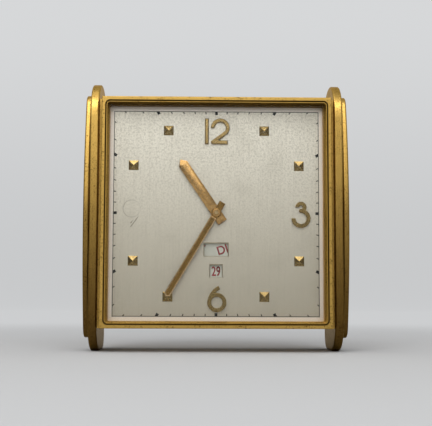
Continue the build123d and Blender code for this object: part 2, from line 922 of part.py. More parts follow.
def movement_screws():
    """Screws that hold the back plate to its pillars and the front plate to the case lugs."""
    head = case_screw_head_height
    screws = []
    for point in corners(pillar_place, pillar_place):
        tip = train_back - plate_screw_bite
        screws.append(
            screw(point, plate_screw_radius, pillar_radius, back_plate_back, back_plate_back + head, tip)
        )
    for point in lug_places():
        tip = front_plate_front - lug_depth
        screws.append(
            screw(point, case_screw_radius, case_screw_head_radius, train_front, train_front + head, tip)
        )
    return screws


# Depths of the barrel
drum_front = train_front + barrel_level
drum_back = drum_front + barrel_depth
lid_front = drum_back - lid_thickness
floor_back = drum_front + barrel_tooth_thickness


def barrel_drum():
    """Toothed drum, open behind, that the mainspring turns."""
    bore = barrel_arbor_radius + running
    face = Face(tooth_wire(barrel_teeth, barrel_module, wheel_form_shares, barrel_turn), [circle_wire(bore)])
    wall = Circle(barrel_radius) - Circle(barrel_radius - barrel_wall)
    floor = slab(Pos(*barrel_centre) * face, drum_front, floor_back)
    return floor + slab(Pos(*barrel_centre) * wall, floor_back, lid_front)


def barrel_lid():
    """Lid that closes the drum."""
    lid = Circle(barrel_radius) - Circle(barrel_arbor_radius + running)
    return slab(Pos(*barrel_centre) * lid, lid_front, drum_back)


def barrel_arbor():
    """Arbor with the spring's core, squared behind for the ratchet wheel and the key."""
    square = Pos(*barrel_centre) * Rectangle(square_side, square_side)
    body = rod(barrel_centre, barrel_arbor_radius, train_front + shake, ratchet_front)
    body += rod(barrel_centre, core_radius, floor_back + shake, lid_front - shake)
    body += rod(barrel_centre, barrel_pivot_radius, front_plate_front, train_front + shake)
    return body + slab(square, ratchet_front, key_front + key_hub_length)


def spiral_face(inner, outer, turns, thickness):
    """A flat spiral strip of half circles about two neighbouring middles."""
    step = (outer - inner) / (2 * turns)
    outer_edges, inner_edges = [], []
    for half in range(2 * turns):
        radius = inner + step * half
        middle = step * (half % 2)
        side = 1 if half % 2 == 0 else -1
        for edges, offset in ((outer_edges, thickness / 2), (inner_edges, -thickness / 2)):
            reach = radius + offset
            start, finish = (middle + side * reach, 0), (middle - side * reach, 0)
            edges.append(ThreePointArc(start, (middle, side * reach), finish))
    first_cap = Line(inner_edges[0] @ 0, outer_edges[0] @ 0)
    last_cap = Line(inner_edges[-1] @ 1, outer_edges[-1] @ 1)
    return Face(Wire([first_cap, *outer_edges, last_cap, *inner_edges]))


def mainspring():
    """Mainspring, half wound, from the core to the drum's wall."""
    outer = barrel_radius - barrel_wall - spring_slack
    inner = core_radius + spring_slack
    face = spiral_face(inner, outer, spring_turns, spring_thickness)
    return slab(Pos(*barrel_centre) * face, floor_back + shake, lid_front - shake)


def ratchet_wheel():
    """Saw-toothed wheel on the squared arbor."""
    points = []
    for tooth in range(ratchet_teeth):
        angle = tooth * 2 * math.pi / ratchet_teeth
        points.append(on_circle(ratchet_radius, angle))
        points.append(on_circle(ratchet_radius - ratchet_tooth, angle))
    square = Rectangle(square_side, square_side).wire()
    return slab(Pos(*barrel_centre) * Face(point_wire(points), [square]), ratchet_front, ratchet_back)


def click():
    """Pawl beside the ratchet wheel, drawn just lifted clear of the teeth."""
    nose_reach = ratchet_radius + clear_of_path + click_width / 2
    nose = place(barrel_centre, nose_reach, click_nose_bearing)
    shape = bar(click_centre, nose, click_width) + Pos(*click_centre) * Circle(click_boss_radius)
    shape -= Pos(*click_centre) * Circle(click_stud_radius + running)
    return slab(shape, ratchet_front, ratchet_back)


def click_spring():
    """Leaf spring on a post behind the back plate."""
    post = place(barrel_centre, click_spring_post_reach, click_spring_post_bearing)
    tip = place(barrel_centre, click_spring_tip_reach, click_spring_tip_bearing)
    leaf = slab(bar(post, tip, click_spring_width), ratchet_front, ratchet_back)
    return leaf + rod(post, click_spring_post_radius, back_plate_back, ratchet_back)


def winding_key():
    """Butterfly key on the end of the squared arbor."""
    hub = rod(barrel_centre, key_hub_radius, key_front, key_wing_middle)
    lobes = Pos(key_lobe_offset, -key_wing_middle) * (Circle(key_lobe_radius) - Circle(key_lobe_hole))
    lobes += Pos(-key_lobe_offset, -key_wing_middle) * (Circle(key_lobe_radius) - Circle(key_lobe_hole))
    neck_width = 2 * (key_lobe_offset - key_lobe_hole)
    lobes += Pos(0, -key_wing_middle) * Rectangle(neck_width, key_lobe_radius)
    wing_plane = Plane(origin=(*barrel_centre, 0), x_dir=(1, 0, 0), z_dir=(0, -1, 0))
    wings = extrude(wing_plane * lobes, amount=key_thickness / 2, both=True)
    flats = wings.edges().group_by(Axis.Y)
    wings = fillet(flats[0] + flats[-1], key_edge)
    square = Pos(*barrel_centre) * Rectangle(square_side, square_side)
    return hub + wings - slab(square, key_front - overrun, key_front + key_hub_length)


# Turns of the wheels that put every pair in mesh, in radians
barrel_turn = 0.0
intermediate_leaf_turn = meshed_turn(
    barrel_turn, barrel_teeth, intermediate_leaves, angle_to(barrel_centre, intermediate_centre)
)
wheel_turn = 0.0
centre_leaf_turn = meshed_turn(
    wheel_turn, intermediate_teeth, centre_leaves, angle_to(intermediate_centre, centre)
)
third_leaf_turn = meshed_turn(wheel_turn, centre_teeth, third_leaves, angle_to(centre, third_centre))
fourth_leaf_turn = meshed_turn(wheel_turn, third_teeth, fourth_leaves, angle_to(third_centre, fourth_centre))
escape_leaf_turn = meshed_turn(wheel_turn, fourth_teeth, escape_leaves, angle_to(fourth_centre, escape_centre))
minute_wheel_turn = meshed_turn(wheel_turn, cannon_leaves, minute_teeth, angle_to(centre, minute_centre))
hour_wheel_turn = meshed_turn(wheel_turn, minute_leaves, hour_teeth, angle_to(minute_centre, centre))
setting_wheel_turn = meshed_turn(
    minute_wheel_turn, minute_teeth, setting_wheel_leaves, angle_to(minute_centre, setting_wheel_centre)
)
setting_pinion_turn = meshed_turn(
    setting_wheel_turn,
    setting_wheel_leaves,
    setting_pinion_teeth,
    angle_to(setting_wheel_centre, setting_centre),
)
calendar_wheel_turn = meshed_turn(wheel_turn, calendar_leaves, calendar_teeth, angle_to(centre, calendar_centre))


def intermediate_arbor():
    """Arbor whose leaves meet the barrel."""
    return pinion(
        intermediate_centre,
        intermediate_leaves,
        barrel_module,
        intermediate_leaf_turn,
        intermediate_arbor_radius,
        barrel_level,
        barrel_tooth_thickness,
    )


def centre_arbor():
    """Arbor that reaches through the dial and carries the hands."""
    body = pinion(
        centre,
        centre_leaves,
        intermediate_module,
        centre_leaf_turn,
        centre_arbor_radius,
        intermediate_level,
        intermediate_thickness,
    )
    return body + rod(centre, centre_post_radius, -hand_stack - nut_height, train_front + shake)


def third_arbor():
    """Arbor whose leaves meet the centre wheel."""
    return pinion(
        third_centre,
        third_leaves,
        centre_module,
        third_leaf_turn,
        third_arbor_radius,
        centre_level,
        centre_thickness,
    )


def intermediate_wheel():
    """Wheel that drives the centre arbor."""
    return train_wheel(
        intermediate_centre,
        intermediate_teeth,
        intermediate_module,
        wheel_turn,
        intermediate_arbor_radius,
        5,
        intermediate_level,
        intermediate_thickness,
    )


def centre_wheel():
    """Wheel that turns once an hour."""
    return train_wheel(
        centre, centre_teeth, centre_module, wheel_turn, centre_arbor_radius, 5, centre_level, centre_thickness
    )


def third_wheel():
    """Wheel that drives the fourth wheel."""
    return train_wheel(
        third_centre, third_teeth, third_module, wheel_turn, third_arbor_radius, 4, third_level, third_thickness
    )


def fourth_wheel():
    """Wheel and pinion, riveted as one, that turn once a minute."""
    body = pinion(
        fourth_centre,
        fourth_leaves,
        third_module,
        fourth_leaf_turn,
        fourth_arbor_radius,
        third_level,
        third_thickness,
    )
    return body + train_wheel(
        fourth_centre,
        fourth_teeth,
        fourth_module,
        wheel_turn,
        fourth_arbor_radius,
        4,
        fourth_level,
        fourth_thickness,
    )


def escape_wheel():
    """Escape wheel with pointed teeth, riveted to its pinion."""
    body = pinion(
        escape_centre,
        escape_leaves,
        fourth_module,
        escape_leaf_turn,
        escape_arbor_radius,
        fourth_level,
        fourth_thickness,
    )
    back_lean_share = 0.45
    points = []
    for tooth in range(escape_teeth):
        angle = tooth * 2 * math.pi / escape_teeth
        points.append(on_circle(escape_radius, angle))
        points.append(on_circle(escape_radius - escape_tooth, angle + back_lean_share * 2 * math.pi / escape_teeth))
    root = escape_radius - escape_tooth
    openings = spoke_wires(4, escape_hub_radius, root - escape_spoke_width, escape_spoke_width)
    face = Face(point_wire(points), [circle_wire(escape_arbor_radius)] + openings)
    front = train_front + escape_level
    return body + slab(Pos(*escape_centre) * face, front, front + escape_thickness)


def pallet_lever():
    """Lever with two pallet arms over the escape wheel and a fork towards the balance."""
    front = train_front + escape_level - drop_in
    back = front + pallet_thickness
    towards_escape = math.degrees(angle_to(pallet_centre, escape_centre))
    towards_balance = math.degrees(angle_to(pallet_centre, balance_centre))
    fork_gap = impulse_pin_reach + impulse_pin_radius + clear_of_path + pallet_arm_width / 2
    fork = place(pallet_centre, balance_distance - fork_gap, towards_balance)
    shape = bar(pallet_centre, fork, pallet_arm_width)
    stone_reach = escape_radius + 2 * clear_of_path + pallet_stone_width / 2
    for side in (-1, 1):
        stone = place(escape_centre, stone_reach, towards_escape + 180 + side * pallet_spread_angle / 2)
        shape += bar(pallet_centre, stone, pallet_arm_width)
        shape += Pos(*stone) * Circle(pallet_stone_width / 2)
    return arbor(pallet_centre, pallet_arbor_radius, pivot_radius) + slab(shape, front, back)


def balance_wheel():
    """Rimmed balance wheel with two arms."""
    openings = spoke_wires(2, balance_hub_radius, balance_radius - balance_rim_width, balance_arm_width)
    face = Face(circle_wire(balance_radius), [circle_wire(balance_staff_radius)] + openings)
    front = train_front + balance_level
    return slab(Pos(*balance_centre) * face, front, front + balance_thickness)


def balance_staff():
    """Staff with its roller, impulse pin and hairspring collet."""
    front = train_front + balance_level
    hairspring_front = front + balance_thickness + layer_gap
    roller_front = front - layer_gap - roller_thickness
    pin_centre = place(balance_centre, impulse_pin_reach, pallet_bearing + 180)
    staff = arbor(balance_centre, balance_staff_radius, balance_pivot_radius)
    staff += rod(balance_centre, roller_radius, roller_front, roller_front + roller_thickness)
    staff += rod(pin_centre, impulse_pin_radius, train_front + escape_level - drop_in, roller_front)
    return staff + rod(balance_centre, collet_radius, hairspring_front, hairspring_front + hairspring_height)


def hairspring():
    """Flat spiral from beside the collet to a stud on the back plate."""
    front = train_front + balance_level + balance_thickness + layer_gap
    inner = collet_radius + clear_of_path
    face = spiral_face(inner, hairspring_radius, hairspring_turns, hairspring_thickness)
    spring = slab(Pos(*balance_centre) * face, front, front + hairspring_height)
    stud = place(balance_centre, hairspring_radius, 0)
    return spring + rod(stud, hairspring_stud_radius, front, train_back)


def regulator():
    """Ring with a pointer that turns on the boss behind the balance."""
    tip = place(balance_centre, regulator_reach, regulator_bearing)
    shape = bar(balance_centre, tip, regulator_width) + Pos(*balance_centre) * Circle(regulator_ring_radius)
    shape -= Pos(*balance_centre) * Circle(regulator_boss_radius + running)
    return slab(shape, back_plate_back + drop_in, back_plate_back + drop_in + regulator_thickness)


def cannon_pinion():
    """Friction-tight pipe on the centre post, with leaves for the minute wheel."""
    body = rod(centre, cannon_radius, -hand_stack, front_plate_front - layer_gap)
    front = minute_wheel_front - layer_gap / 2
    body += leaves(centre, cannon_leaves, motion_module, wheel_turn, front, minute_wheel_back + layer_gap / 2)
    return body - rod(centre, cannon_bore, -hand_stack - overrun, front_plate_front)


def minute_wheel():
    """Wheel and pinion between the cannon pinion and the hour wheel."""
    face = Face(tooth_wire(minute_teeth, motion_module, wheel_form_shares, minute_wheel_turn))
    body = slab(Pos(*minute_centre) * face, minute_wheel_front, minute_wheel_back)
    leaf_front = hour_wheel_front - layer_gap / 2
    body += leaves(minute_centre, minute_leaves, hour_module, wheel_turn, leaf_front, minute_wheel_front)
    return body - rod(minute_centre, stud_radius + running, leaf_front - overrun, minute_wheel_back + overrun)


def hour_wheel():
    """Wheel on the pipe that carries the hour hand, with leaves for the calendar."""
    face = Face(tooth_wire(hour_teeth, hour_module, wheel_form_shares, hour_wheel_turn))
    body = slab(face, hour_wheel_front, hour_wheel_back)
    body += rod(centre, hour_pipe_radius, -hour_hand_lift - hour_hand_thickness, hour_wheel_back)
    leaf_front = calendar_wheel_front - drop_in
    leaf_back = calendar_wheel_back + drop_in
    body += leaves(centre, calendar_leaves, calendar_module, wheel_turn, leaf_front, leaf_back)
    return body - rod(centre, hour_pipe_bore, -hand_stack, hour_wheel_back + overrun)


def setting_wheel():
    """Idler between the setting pinion and the minute wheel."""
    outline = tooth_wire(setting_wheel_leaves, motion_module, leaf_form_shares, setting_wheel_turn)
    face = Face(outline, [circle_wire(stud_radius + running)])
    return slab(Pos(*setting_wheel_centre) * face, minute_wheel_front, minute_wheel_back)


def setting_arbor():
    """Arbor from the setting knob to the motion work."""
    outline = tooth_wire(setting_pinion_teeth, motion_module, wheel_form_shares, setting_pinion_turn)
    front = minute_wheel_front - layer_gap / 2
    back = minute_wheel_back + layer_gap / 2
    knob_middle = cover_back + knob_gap + knob_length / 2
    body = rod(setting_centre, setting_arbor_radius, front, knob_middle)
    return body + slab(Pos(*setting_centre) * Face(outline), front, back)


def setting_knob():
    """Fluted knob behind the back cover."""
    front = cover_back + knob_gap
    knob = rod(setting_centre, knob_radius, front, front + knob_length)
    knob = fillet(knob.edges(), knob_edge)
    for flute in range(knob_flutes):
        point = place(setting_centre, knob_radius, flute * 360 / knob_flutes)
        knob -= rod(point, knob_flute_radius, front - overrun, front + knob_length + overrun)
    return knob - rod(setting_centre, setting_arbor_radius, front - overrun, front + knob_length / 2)


def calendar_plate():
    """Plate behind the calendar, with a raised seat for the date ring, a stud and three legs."""
    disc = Circle(calendar_plate_radius) - Circle(calendar_plate_hole)
    plate = slab(disc, calendar_plate_front, calendar_plate_back)
    seat = Circle(calendar_plate_radius) - Circle(date_rim_radius + ring_seat_gap)
    plate += slab(seat, disc_back + ring_seat_gap, calendar_plate_front)
    plate += rod(calendar_centre, stud_radius, calendar_wheel_front, calendar_plate_front)
    for bearing in calendar_leg_bearings:
        point = place(centre, calendar_leg_reach, bearing)
        plate += rod(point, calendar_leg_radius, calendar_plate_back, front_plate_front)
        plate += rod(point, dial_post_tenon, front_plate_front, train_front)
    return plate


def calendar_wheel():
    """Wheel that turns once a day and carries the pin that moves the day and the date."""
    outline = tooth_wire(calendar_teeth, calendar_module, wheel_form_shares, calendar_wheel_turn)
    face = Face(outline, [circle_wire(stud_radius + running)])
    body = slab(Pos(*calendar_centre) * face, calendar_wheel_front, calendar_wheel_back)
    pin = place(calendar_centre, calendar_pin_reach, 0)
    return body + rod(pin, calendar_pin_radius, disc_back + layer_gap / 2, calendar_wheel_front)


def star_points_about(points, outer, inner):
    """Corners of a star."""
    corner_list = []
    for point in range(points):
        angle = point * 2 * math.pi / points
        corner_list.append(on_circle(outer, angle))
        corner_list.append(on_circle(inner, angle + math.pi / points))
    return corner_list


def date_ring():
    """Ring that carries the dates, toothed inside."""
    flat = Circle(date_ring_radius) - Circle(date_rim_radius - date_tooth / 2)
    teeth = star_points_about(date_ring_teeth, date_tooth_reach + date_tooth, date_tooth_reach)
    rim = Face(circle_wire(date_rim_radius), [point_wire(teeth)])
    return slab(flat, disc_front, disc_back) + slab(rim, disc_front, star_back)


def day_disc():
    """Disc that carries the days, with a star behind it."""
    bore = hour_pipe_radius + running
    disc = slab(Circle(day_disc_radius) - Circle(bore), disc_front, disc_back)
    points = star_points_about(star_points, star_radius, star_radius - star_tooth)
    return disc + slab(Face(point_wire(points), [circle_wire(bore)]), disc_back, star_back)


def calendar_jumpers():
    """Spring arms that hold the date ring and the day star, drawn just clear of their teeth."""
    date_post = place(centre, date_jumper_post_reach, date_jumper_post_bearing)
    date_nose = place(
        centre, date_tooth_reach - clear_of_path - jumper_width / 2, date_jumper_nose_bearing
    )
    day_post = place(centre, day_jumper_post_reach, day_jumper_post_bearing)
    day_nose = place(centre, star_radius + clear_of_path + jumper_width / 2, day_jumper_nose_bearing)
    jumpers = []
    for post, nose in ((date_post, date_nose), (day_post, day_nose)):
        arm = slab(bar(post, nose, jumper_width), disc_back + drop_in, star_back)
        jumpers.append(arm + rod(post, jumper_post_radius, disc_back + drop_in, calendar_plate_front))
    return jumpers


def button(point):
    """Correcting button: a head behind the cover, a stem through both plates and a collar inside the cover."""
    head_front = cover_back + button_travel + layer_gap
    head = rod(point, button_radius, head_front, head_front + button_height)
    head = fillet(head.faces().sort_by(Axis.Z)[0].edges(), button_edge)
    stem = rod(point, button_stem_radius, front_plate_front - layer_gap, head_front)
    collar_back = cover_front - drop_in
    return head + stem + rod(point, button_collar_radius, collar_back - button_collar_height, collar_back)


def button_spring(point):
    """Conical spring between the back plate and the button's collar."""
    back = cover_front - drop_in - button_collar_height
    inner = button_stem_radius + drop_in
    outer = button_collar_radius
    profile = make_face(
        Polyline(
            (inner, -back),
            (inner + button_spring_thickness, -back),
            (outer + button_spring_thickness, -back_plate_back),
            (outer, -back_plate_back),
            close=True,
        )
    )
    return Pos(*point) * revolve(Plane.XZ * profile, Axis.Z)


def save(name, pieces):
    """Stand a piece, or a group of pieces, in the clock's own frame and write it."""
    shapes = pieces if isinstance(pieces, list) else [pieces]
    solids = [stand * solid for shape in shapes for solid in shape.solids()]
    export_step(solids[0] if len(solids) == 1 else Compound(solids), f"parts/{name}.step")


clock_pieces = {
    "front_frame": front_frame,
    "glass": glass,
    "glass_retainer": glass_retainer,
    "case_band": case_band,
    "side_plate_screws": side_plate_screws,
    "back_cover": back_cover,
    "back_cover_screws": back_cover_screws,
    "dial": dial,
    "dial_posts": dial_posts,
    "numeral_12": numeral_twelve,
    "hour_markers": hour_markers,
    "hour_hand": hour_hand,
    "minute_hand": minute_hand,
    "hand_nut": hand_nut,
    "front_plate": front_plate,
    "back_plate": back_plate,
    "movement_pillars": movement_pillars,
    "movement_screws": movement_screws,
    "barrel_drum": barrel_drum,
    "barrel_lid": barrel_lid,
    "barrel_arbor": barrel_arbor,
    "mainspring": mainspring,
    "ratchet_wheel": ratchet_wheel,
    "click": click,
    "click_spring": click_spring,
    "winding_key": winding_key,
    "intermediate_arbor": intermediate_arbor,
    "intermediate_wheel": intermediate_wheel,
    "centre_arbor": centre_arbor,
    "centre_wheel": centre_wheel,
    "third_arbor": third_arbor,
    "third_wheel": third_wheel,
    "fourth_wheel": fourth_wheel,
    "escape_wheel": escape_wheel,
    "pallet_lever": pallet_lever,
    "balance_wheel": balance_wheel,
    "balance_staff": balance_staff,
    "hairspring": hairspring,
    "regulator": regulator,
    "cannon_pinion": cannon_pinion,
    "minute_wheel": minute_wheel,
    "hour_wheel": hour_wheel,
    "setting_wheel": setting_wheel,
    "setting_arbor": setting_arbor,
    "setting_knob": setting_knob,
    "calendar_plate": calendar_plate,
    "calendar_wheel": calendar_wheel,
    "date_ring": date_ring,
    "day_disc": day_disc,
    "calendar_jumpers": calendar_jumpers,
}

os.makedirs("parts", exist_ok=True)
for piece_name, make_piece in clock_pieces.items():
    save(piece_name, make_piece())
save("numeral_3", numeral(digit_three(), numeral_out, 0))
save("numeral_6", numeral(digit_six(), 0, -numeral_rise))
for side_name, side_sign in (("left", -1), ("right", 1)):
    save(f"{side_name}_tall_plate", tall_plate(side_sign))
    save(f"{side_name}_outer_plate", outer_plate(side_sign))
for button_name, button_point in button_centres.items():
    save(f"{button_name}_button", button(button_point))
    save(f"{button_name}_button_spring", button_spring(button_point))
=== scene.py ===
"""Looks of a square brass desk clock: finishes, printed dial, calendar, hands, springs and stage."""

import json
import math

import bmesh
import bpy
from mathutils import Matrix, Vector


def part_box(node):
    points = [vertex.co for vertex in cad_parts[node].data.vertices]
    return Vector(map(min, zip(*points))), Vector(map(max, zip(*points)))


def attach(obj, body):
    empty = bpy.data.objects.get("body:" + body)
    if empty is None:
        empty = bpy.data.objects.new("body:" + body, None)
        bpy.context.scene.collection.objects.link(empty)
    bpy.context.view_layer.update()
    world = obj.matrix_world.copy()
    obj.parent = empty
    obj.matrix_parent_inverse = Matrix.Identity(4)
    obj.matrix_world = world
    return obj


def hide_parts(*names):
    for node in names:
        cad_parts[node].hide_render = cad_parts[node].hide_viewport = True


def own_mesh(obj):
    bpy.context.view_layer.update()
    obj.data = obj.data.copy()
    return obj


bl_info = {
    "name": "Square Brass Desk Clock",
    "version": (1, 0, 0),
    "blender": (4, 5, 0),
    "location": "View3D > Sidebar > Desk Clock",
    "description": "Dresses the frame of a square brass desk clock with its finishes and printed details",
    "category": "Object",
}

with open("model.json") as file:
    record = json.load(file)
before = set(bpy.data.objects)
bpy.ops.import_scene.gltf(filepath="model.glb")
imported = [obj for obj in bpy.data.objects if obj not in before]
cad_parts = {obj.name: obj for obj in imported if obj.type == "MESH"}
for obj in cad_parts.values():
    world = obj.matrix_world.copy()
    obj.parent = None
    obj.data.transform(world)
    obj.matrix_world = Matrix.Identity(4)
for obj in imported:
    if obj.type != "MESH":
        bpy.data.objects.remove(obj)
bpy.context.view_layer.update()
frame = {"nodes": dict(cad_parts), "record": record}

mm = 0.001

# Places on the dial, from the frame: x right, y up and z towards the viewer
hub_low, hub_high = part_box("hand_nut")
hub = (hub_low + hub_high) / 2
dial_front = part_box("dial")[0].y
facing = Matrix.Rotation(math.radians(90), 4, "X")
dial_plane = Matrix.Translation((hub.x, dial_front, hub.z)) @ facing
day_plane = Matrix.Translation((hub.x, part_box("day_disc")[0].y, hub.z)) @ facing
date_plane = Matrix.Translation((hub.x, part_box("date_ring")[0].y, hub.z)) @ facing

# Opening of the front frame: half its width and height, its corners and the channel round it
sight_half = (40.0 * mm, 40.15 * mm)
sight_corner = 0.5 * mm
channel_reach = 1.02 * mm

# Grime and painted shade in the channel round the opening, and painted shade on its upper wall, which faces
# down: where each begins to fade, where it ends and its depth
channel_grime_and_shade = (0.18 * mm, 0.42 * mm, 0.85)
wall_shade = (0.40 * mm, 0.62 * mm, 0.80)

# Heights between which the brass's painted shade, darkest at the bottom, fades out towards its top
foot_height, shoulder_height = 5 * mm, 95 * mm

# Directions of brushing: how fine its noise is along each axis, or round the opening of the frame
along_height = (1.0, 1.0, 0.02)
along_width = (0.02, 1.0, 1.0)
along_depth = (1.0, 0.05, 1.0)
round_opening = "round"

# Fineness of the brushing and of ink, in waves per metre
brushing_scale = 9000
ink_scale = 2400

# How much bolder the lettering is than its font
boldness = 0.02

# Distance within which the corners of letters and of copied nodes are merged
merge_reach = 0.001 * mm

# Angle past which the faces of a smooth piece meet in a sharp edge
crease = math.radians(30)

black = (0.0, 0.0, 0.0, 1.0)


# Properties


def length(name, description, default):
    """A length in metres that the user can change."""
    return bpy.props.FloatProperty(
        name=name, description=description, default=default, unit="LENGTH", precision=5
    )


def angle(name, description, default):
    """An angle that the user can change."""
    return bpy.props.FloatProperty(name=name, description=description, default=default, unit="ROTATION")


def colour(name, description, default):
    """A colour that the user can change."""
    return bpy.props.FloatVectorProperty(
        name=name, description=description, default=default, size=3, subtype="COLOR", min=0, max=1
    )


def amount(name, description, default):
    """A plain number from nought that the user can change."""
    return bpy.props.FloatProperty(name=name, description=description, default=default, min=0)


class ClockFinishes(bpy.types.PropertyGroup):
    """Colours of the clock's metals, paints and inks."""

    brass: colour("Brass", "Satin brass of the frame and plates", (0.63, 0.395, 0.098))
    # Patina colour of the specks and stains, also painted as shade in the grooves, under the frame's upper
    # wall and towards the bottom of the plates
    patina: colour("Patina", "Brown in the grooves and specks of the brass", (0.045, 0.018, 0.003))
    gilt: colour("Gilt", "Gilding of the numerals and markers", (0.32, 0.225, 0.09))
    rose: colour("Rose gilt", "Warmer gilding of the hour hand and its nut", (0.62, 0.375, 0.14))
    bronze: colour("Bronze", "Browned gilding of the minute hand", (0.36, 0.205, 0.055))
    # Highlit gilt is a paler copy of the gilt on the minute hand's bevel, a painted highlight
    worn: colour("Highlit gilt", "Pale bevel of the minute hand", (0.70, 0.50, 0.28))
    # Silver and shaded silver are the painted light at the top of the dial and the painted shade at its
    # bottom
    silver: colour("Silver", "Silvered field of the dial at the top", (0.84, 0.80, 0.68))
    yellowed: colour("Shaded silver", "Silvered field of the dial at the bottom", (0.55, 0.505, 0.40))
    margin: colour("Margin", "Smooth margin of the dial outside the minute track", (0.93, 0.86, 0.77))
    ink: colour("Ink", "Black ink of the minute track", (0.012, 0.010, 0.008))
    disc: colour("Calendar white", "Paint of the calendar discs", (0.60, 0.60, 0.51))
    red: colour("Calendar red", "Ink of the weekday names and dates", (0.33, 0.05, 0.05))
    steel: colour("Steel", "Steel of the arbors, levers and screws", (0.42, 0.43, 0.44))
    straw: colour("Straw steel", "Straw tempered steel of the centre arbor", (0.55, 0.40, 0.20))
    blued: colour("Blued steel", "Blued steel of the springs", (0.035, 0.05, 0.13))


class ClockPrint(bpy.types.PropertyGroup):
    """Sizes of what is printed on the dial and the calendar."""

    ink_height: length("Ink height", "How far the ink stands off its ground", 0.02 * mm)
    track_reach: length("Track reach", "Half side of the square minute track", 38.5 * mm)
    track_line: length("Track line", "Width of the square line", 0.22 * mm)
    tick_length: length("Tick length", "Length of a minute tick", 1.05 * mm)
    tick_width: length("Tick width", "Width of a minute tick", 0.34 * mm)
    mark_length: length("Mark length", "Length of a five minute mark", 1.35 * mm)
    mark_width: length("Mark width", "Width of a five minute mark", 1.05 * mm)
    day_reach: length("Day reach", "Radius of the weekday names", 13.65 * mm)
    day_height: length("Day height", "Height of the weekday letters", 3.2 * mm)
    day_width: length("Day width", "Width of a weekday name", 7.2 * mm)
    day_turn: angle("Day turn", "How far the last weekday still is from the window", math.radians(17))
    date_reach: length("Date reach", "Radius of the dates", 21.65 * mm)
    date_height: length("Date height", "Height of the date figures", 3.7 * mm)
    date_digit: length("Date digit", "Width of one date figure", 1.65 * mm)


class ClockHands(bpy.types.PropertyGroup):
    """Crowns of the two hands, and the eased edges of the numerals."""

    edge: length("Hand edge", "Height of the square edge under a crown", 0.16 * mm)
    hour_width: length("Hour width", "Width of the hour hand", 3.75 * mm)
    hour_point: length("Hour point", "Length of the hour hand's point", 1.9 * mm)
    hour_start: length("Hour start", "Where the hour hand's crown begins, from the hub", 2.5 * mm)
    hour_crown: length("Hour crown", "Rise of the domed hour hand", 0.26 * mm)
    minute_width: length("Minute width", "Width of the minute hand", 2.4 * mm)
    minute_point: length("Minute point", "Length of the minute hand's point", 1.0 * mm)
    minute_start: length("Minute start", "Where the minute hand's crown begins, from the hub", 1.9 * mm)
    minute_crown: length("Minute crown", "Rise of the bevelled minute hand", 0.24 * mm)
    numeral_edge: length("Numeral edge", "Width of the eased edge round a numeral", 0.38 * mm)


class ClockStage(bpy.types.PropertyGroup):
    """Floor, lights and camera."""

    floor: colour("Floor", "Pale floor", (0.60, 0.605, 0.61))
    backdrop: colour("Backdrop", "Pale backdrop above the floor", (0.665, 0.675, 0.685))
    key: amount("Key light", "Power of the soft light above", 1.0)
    window: amount("Window light", "Power of the left one of two lights high in front", 2.0)
    front: amount("Front light", "Power of the broad soft light in front", 2.5)
    fill: amount("Fill light", "Power of the wide dim light near the camera", 0.9)
    camera_place: bpy.props.FloatVectorProperty(
        name="Camera place",
        description="Camera's place from the middle of the dial",
        default=(-6.74 * mm, -347.83 * mm, -31.42 * mm),
        size=3,
        subtype="TRANSLATION",
    )
    camera_pitch: angle("Camera pitch", "How far the camera looks up", math.radians(5.172))
    camera_yaw: angle("Camera yaw", "How far the camera looks aside", math.radians(-1.095))
    camera_roll: angle("Camera roll", "How far the camera is tilted", math.radians(0.19))
    focal_length: amount("Focal length", "Lens in millimetres on a 36 millimetre sensor", 77.84)


class DeskClock(bpy.types.PropertyGroup):
    """All that can be changed on the clock."""

    finishes: bpy.props.PointerProperty(type=ClockFinishes, name="Finishes", description="Colours")
    printed: bpy.props.PointerProperty(type=ClockPrint, name="Print", description="Printed sizes")
    hands: bpy.props.PointerProperty(type=ClockHands, name="Hands", description="Hands and numerals")
    stage: bpy.props.PointerProperty(type=ClockStage, name="Stage", description="Floor, lights and camera")


# Shader helpers


def add(tree, kind, inputs=None, **settings):
    """Adds a shader node, with values or links for its inputs."""
    made = tree.nodes.new(kind)
    for name, value in settings.items():
        setattr(made, name, value)
    for key, value in (inputs or {}).items():
        if isinstance(value, bpy.types.NodeSocket):
            tree.links.new(value, made.inputs[key])
        else:
            made.inputs[key].default_value = value
    return made


def math_node(tree, operation, first, second=0.0):
    """One sum on two values or sockets."""
    return add(tree, "ShaderNodeMath", {0: first, 1: second}, operation=operation).outputs[0]


def apart(tree, first, second):
    """How far apart two values are."""
    return math_node(tree, "ABSOLUTE", math_node(tree, "SUBTRACT", first, second))


def diagonal(tree, first, second):
    """Root of the sum of two squares."""
    squares = [math_node(tree, "MULTIPLY", each, each) for each in (first, second)]
    return math_node(tree, "SQRT", math_node(tree, "ADD", *squares))


def between(tree, value, low, high, start=0.0, end=1.0):
    """Maps a value smoothly from the range low to high on to start to end."""
    inputs = {"Value": value, "From Min": low, "From Max": high, "To Min": start, "To Max": end}
    return add(tree, "ShaderNodeMapRange", inputs, interpolation_type="SMOOTHSTEP").outputs["Result"]


def blend(tree, share, first, second):
    """A colour between two colours, by the places of a Mix node's colour sockets."""
    return add(tree, "ShaderNodeMix", {0: share, 6: first, 7: second}, data_type="RGBA").outputs[2]


def noise(tree, coords, scale, detail=3.0, stretch=(1, 1, 1)):
    """Noise in object coordinates, drawn out along an axis by its stretch."""
    scales = [scale * share for share in stretch]
    mapped = add(tree, "ShaderNodeMapping", {"Vector": coords, "Scale": scales}).outputs[0]
    inputs = {"Vector": mapped, "Scale": 1.0, "Detail": detail, "Roughness": 0.6}
    return add(tree, "ShaderNodeTexNoise", inputs).outputs["Fac"]


def axes(tree, coords):
    """The X, Y and Z of coordinates."""
    return add(tree, "ShaderNodeSeparateXYZ", {0: coords}).outputs


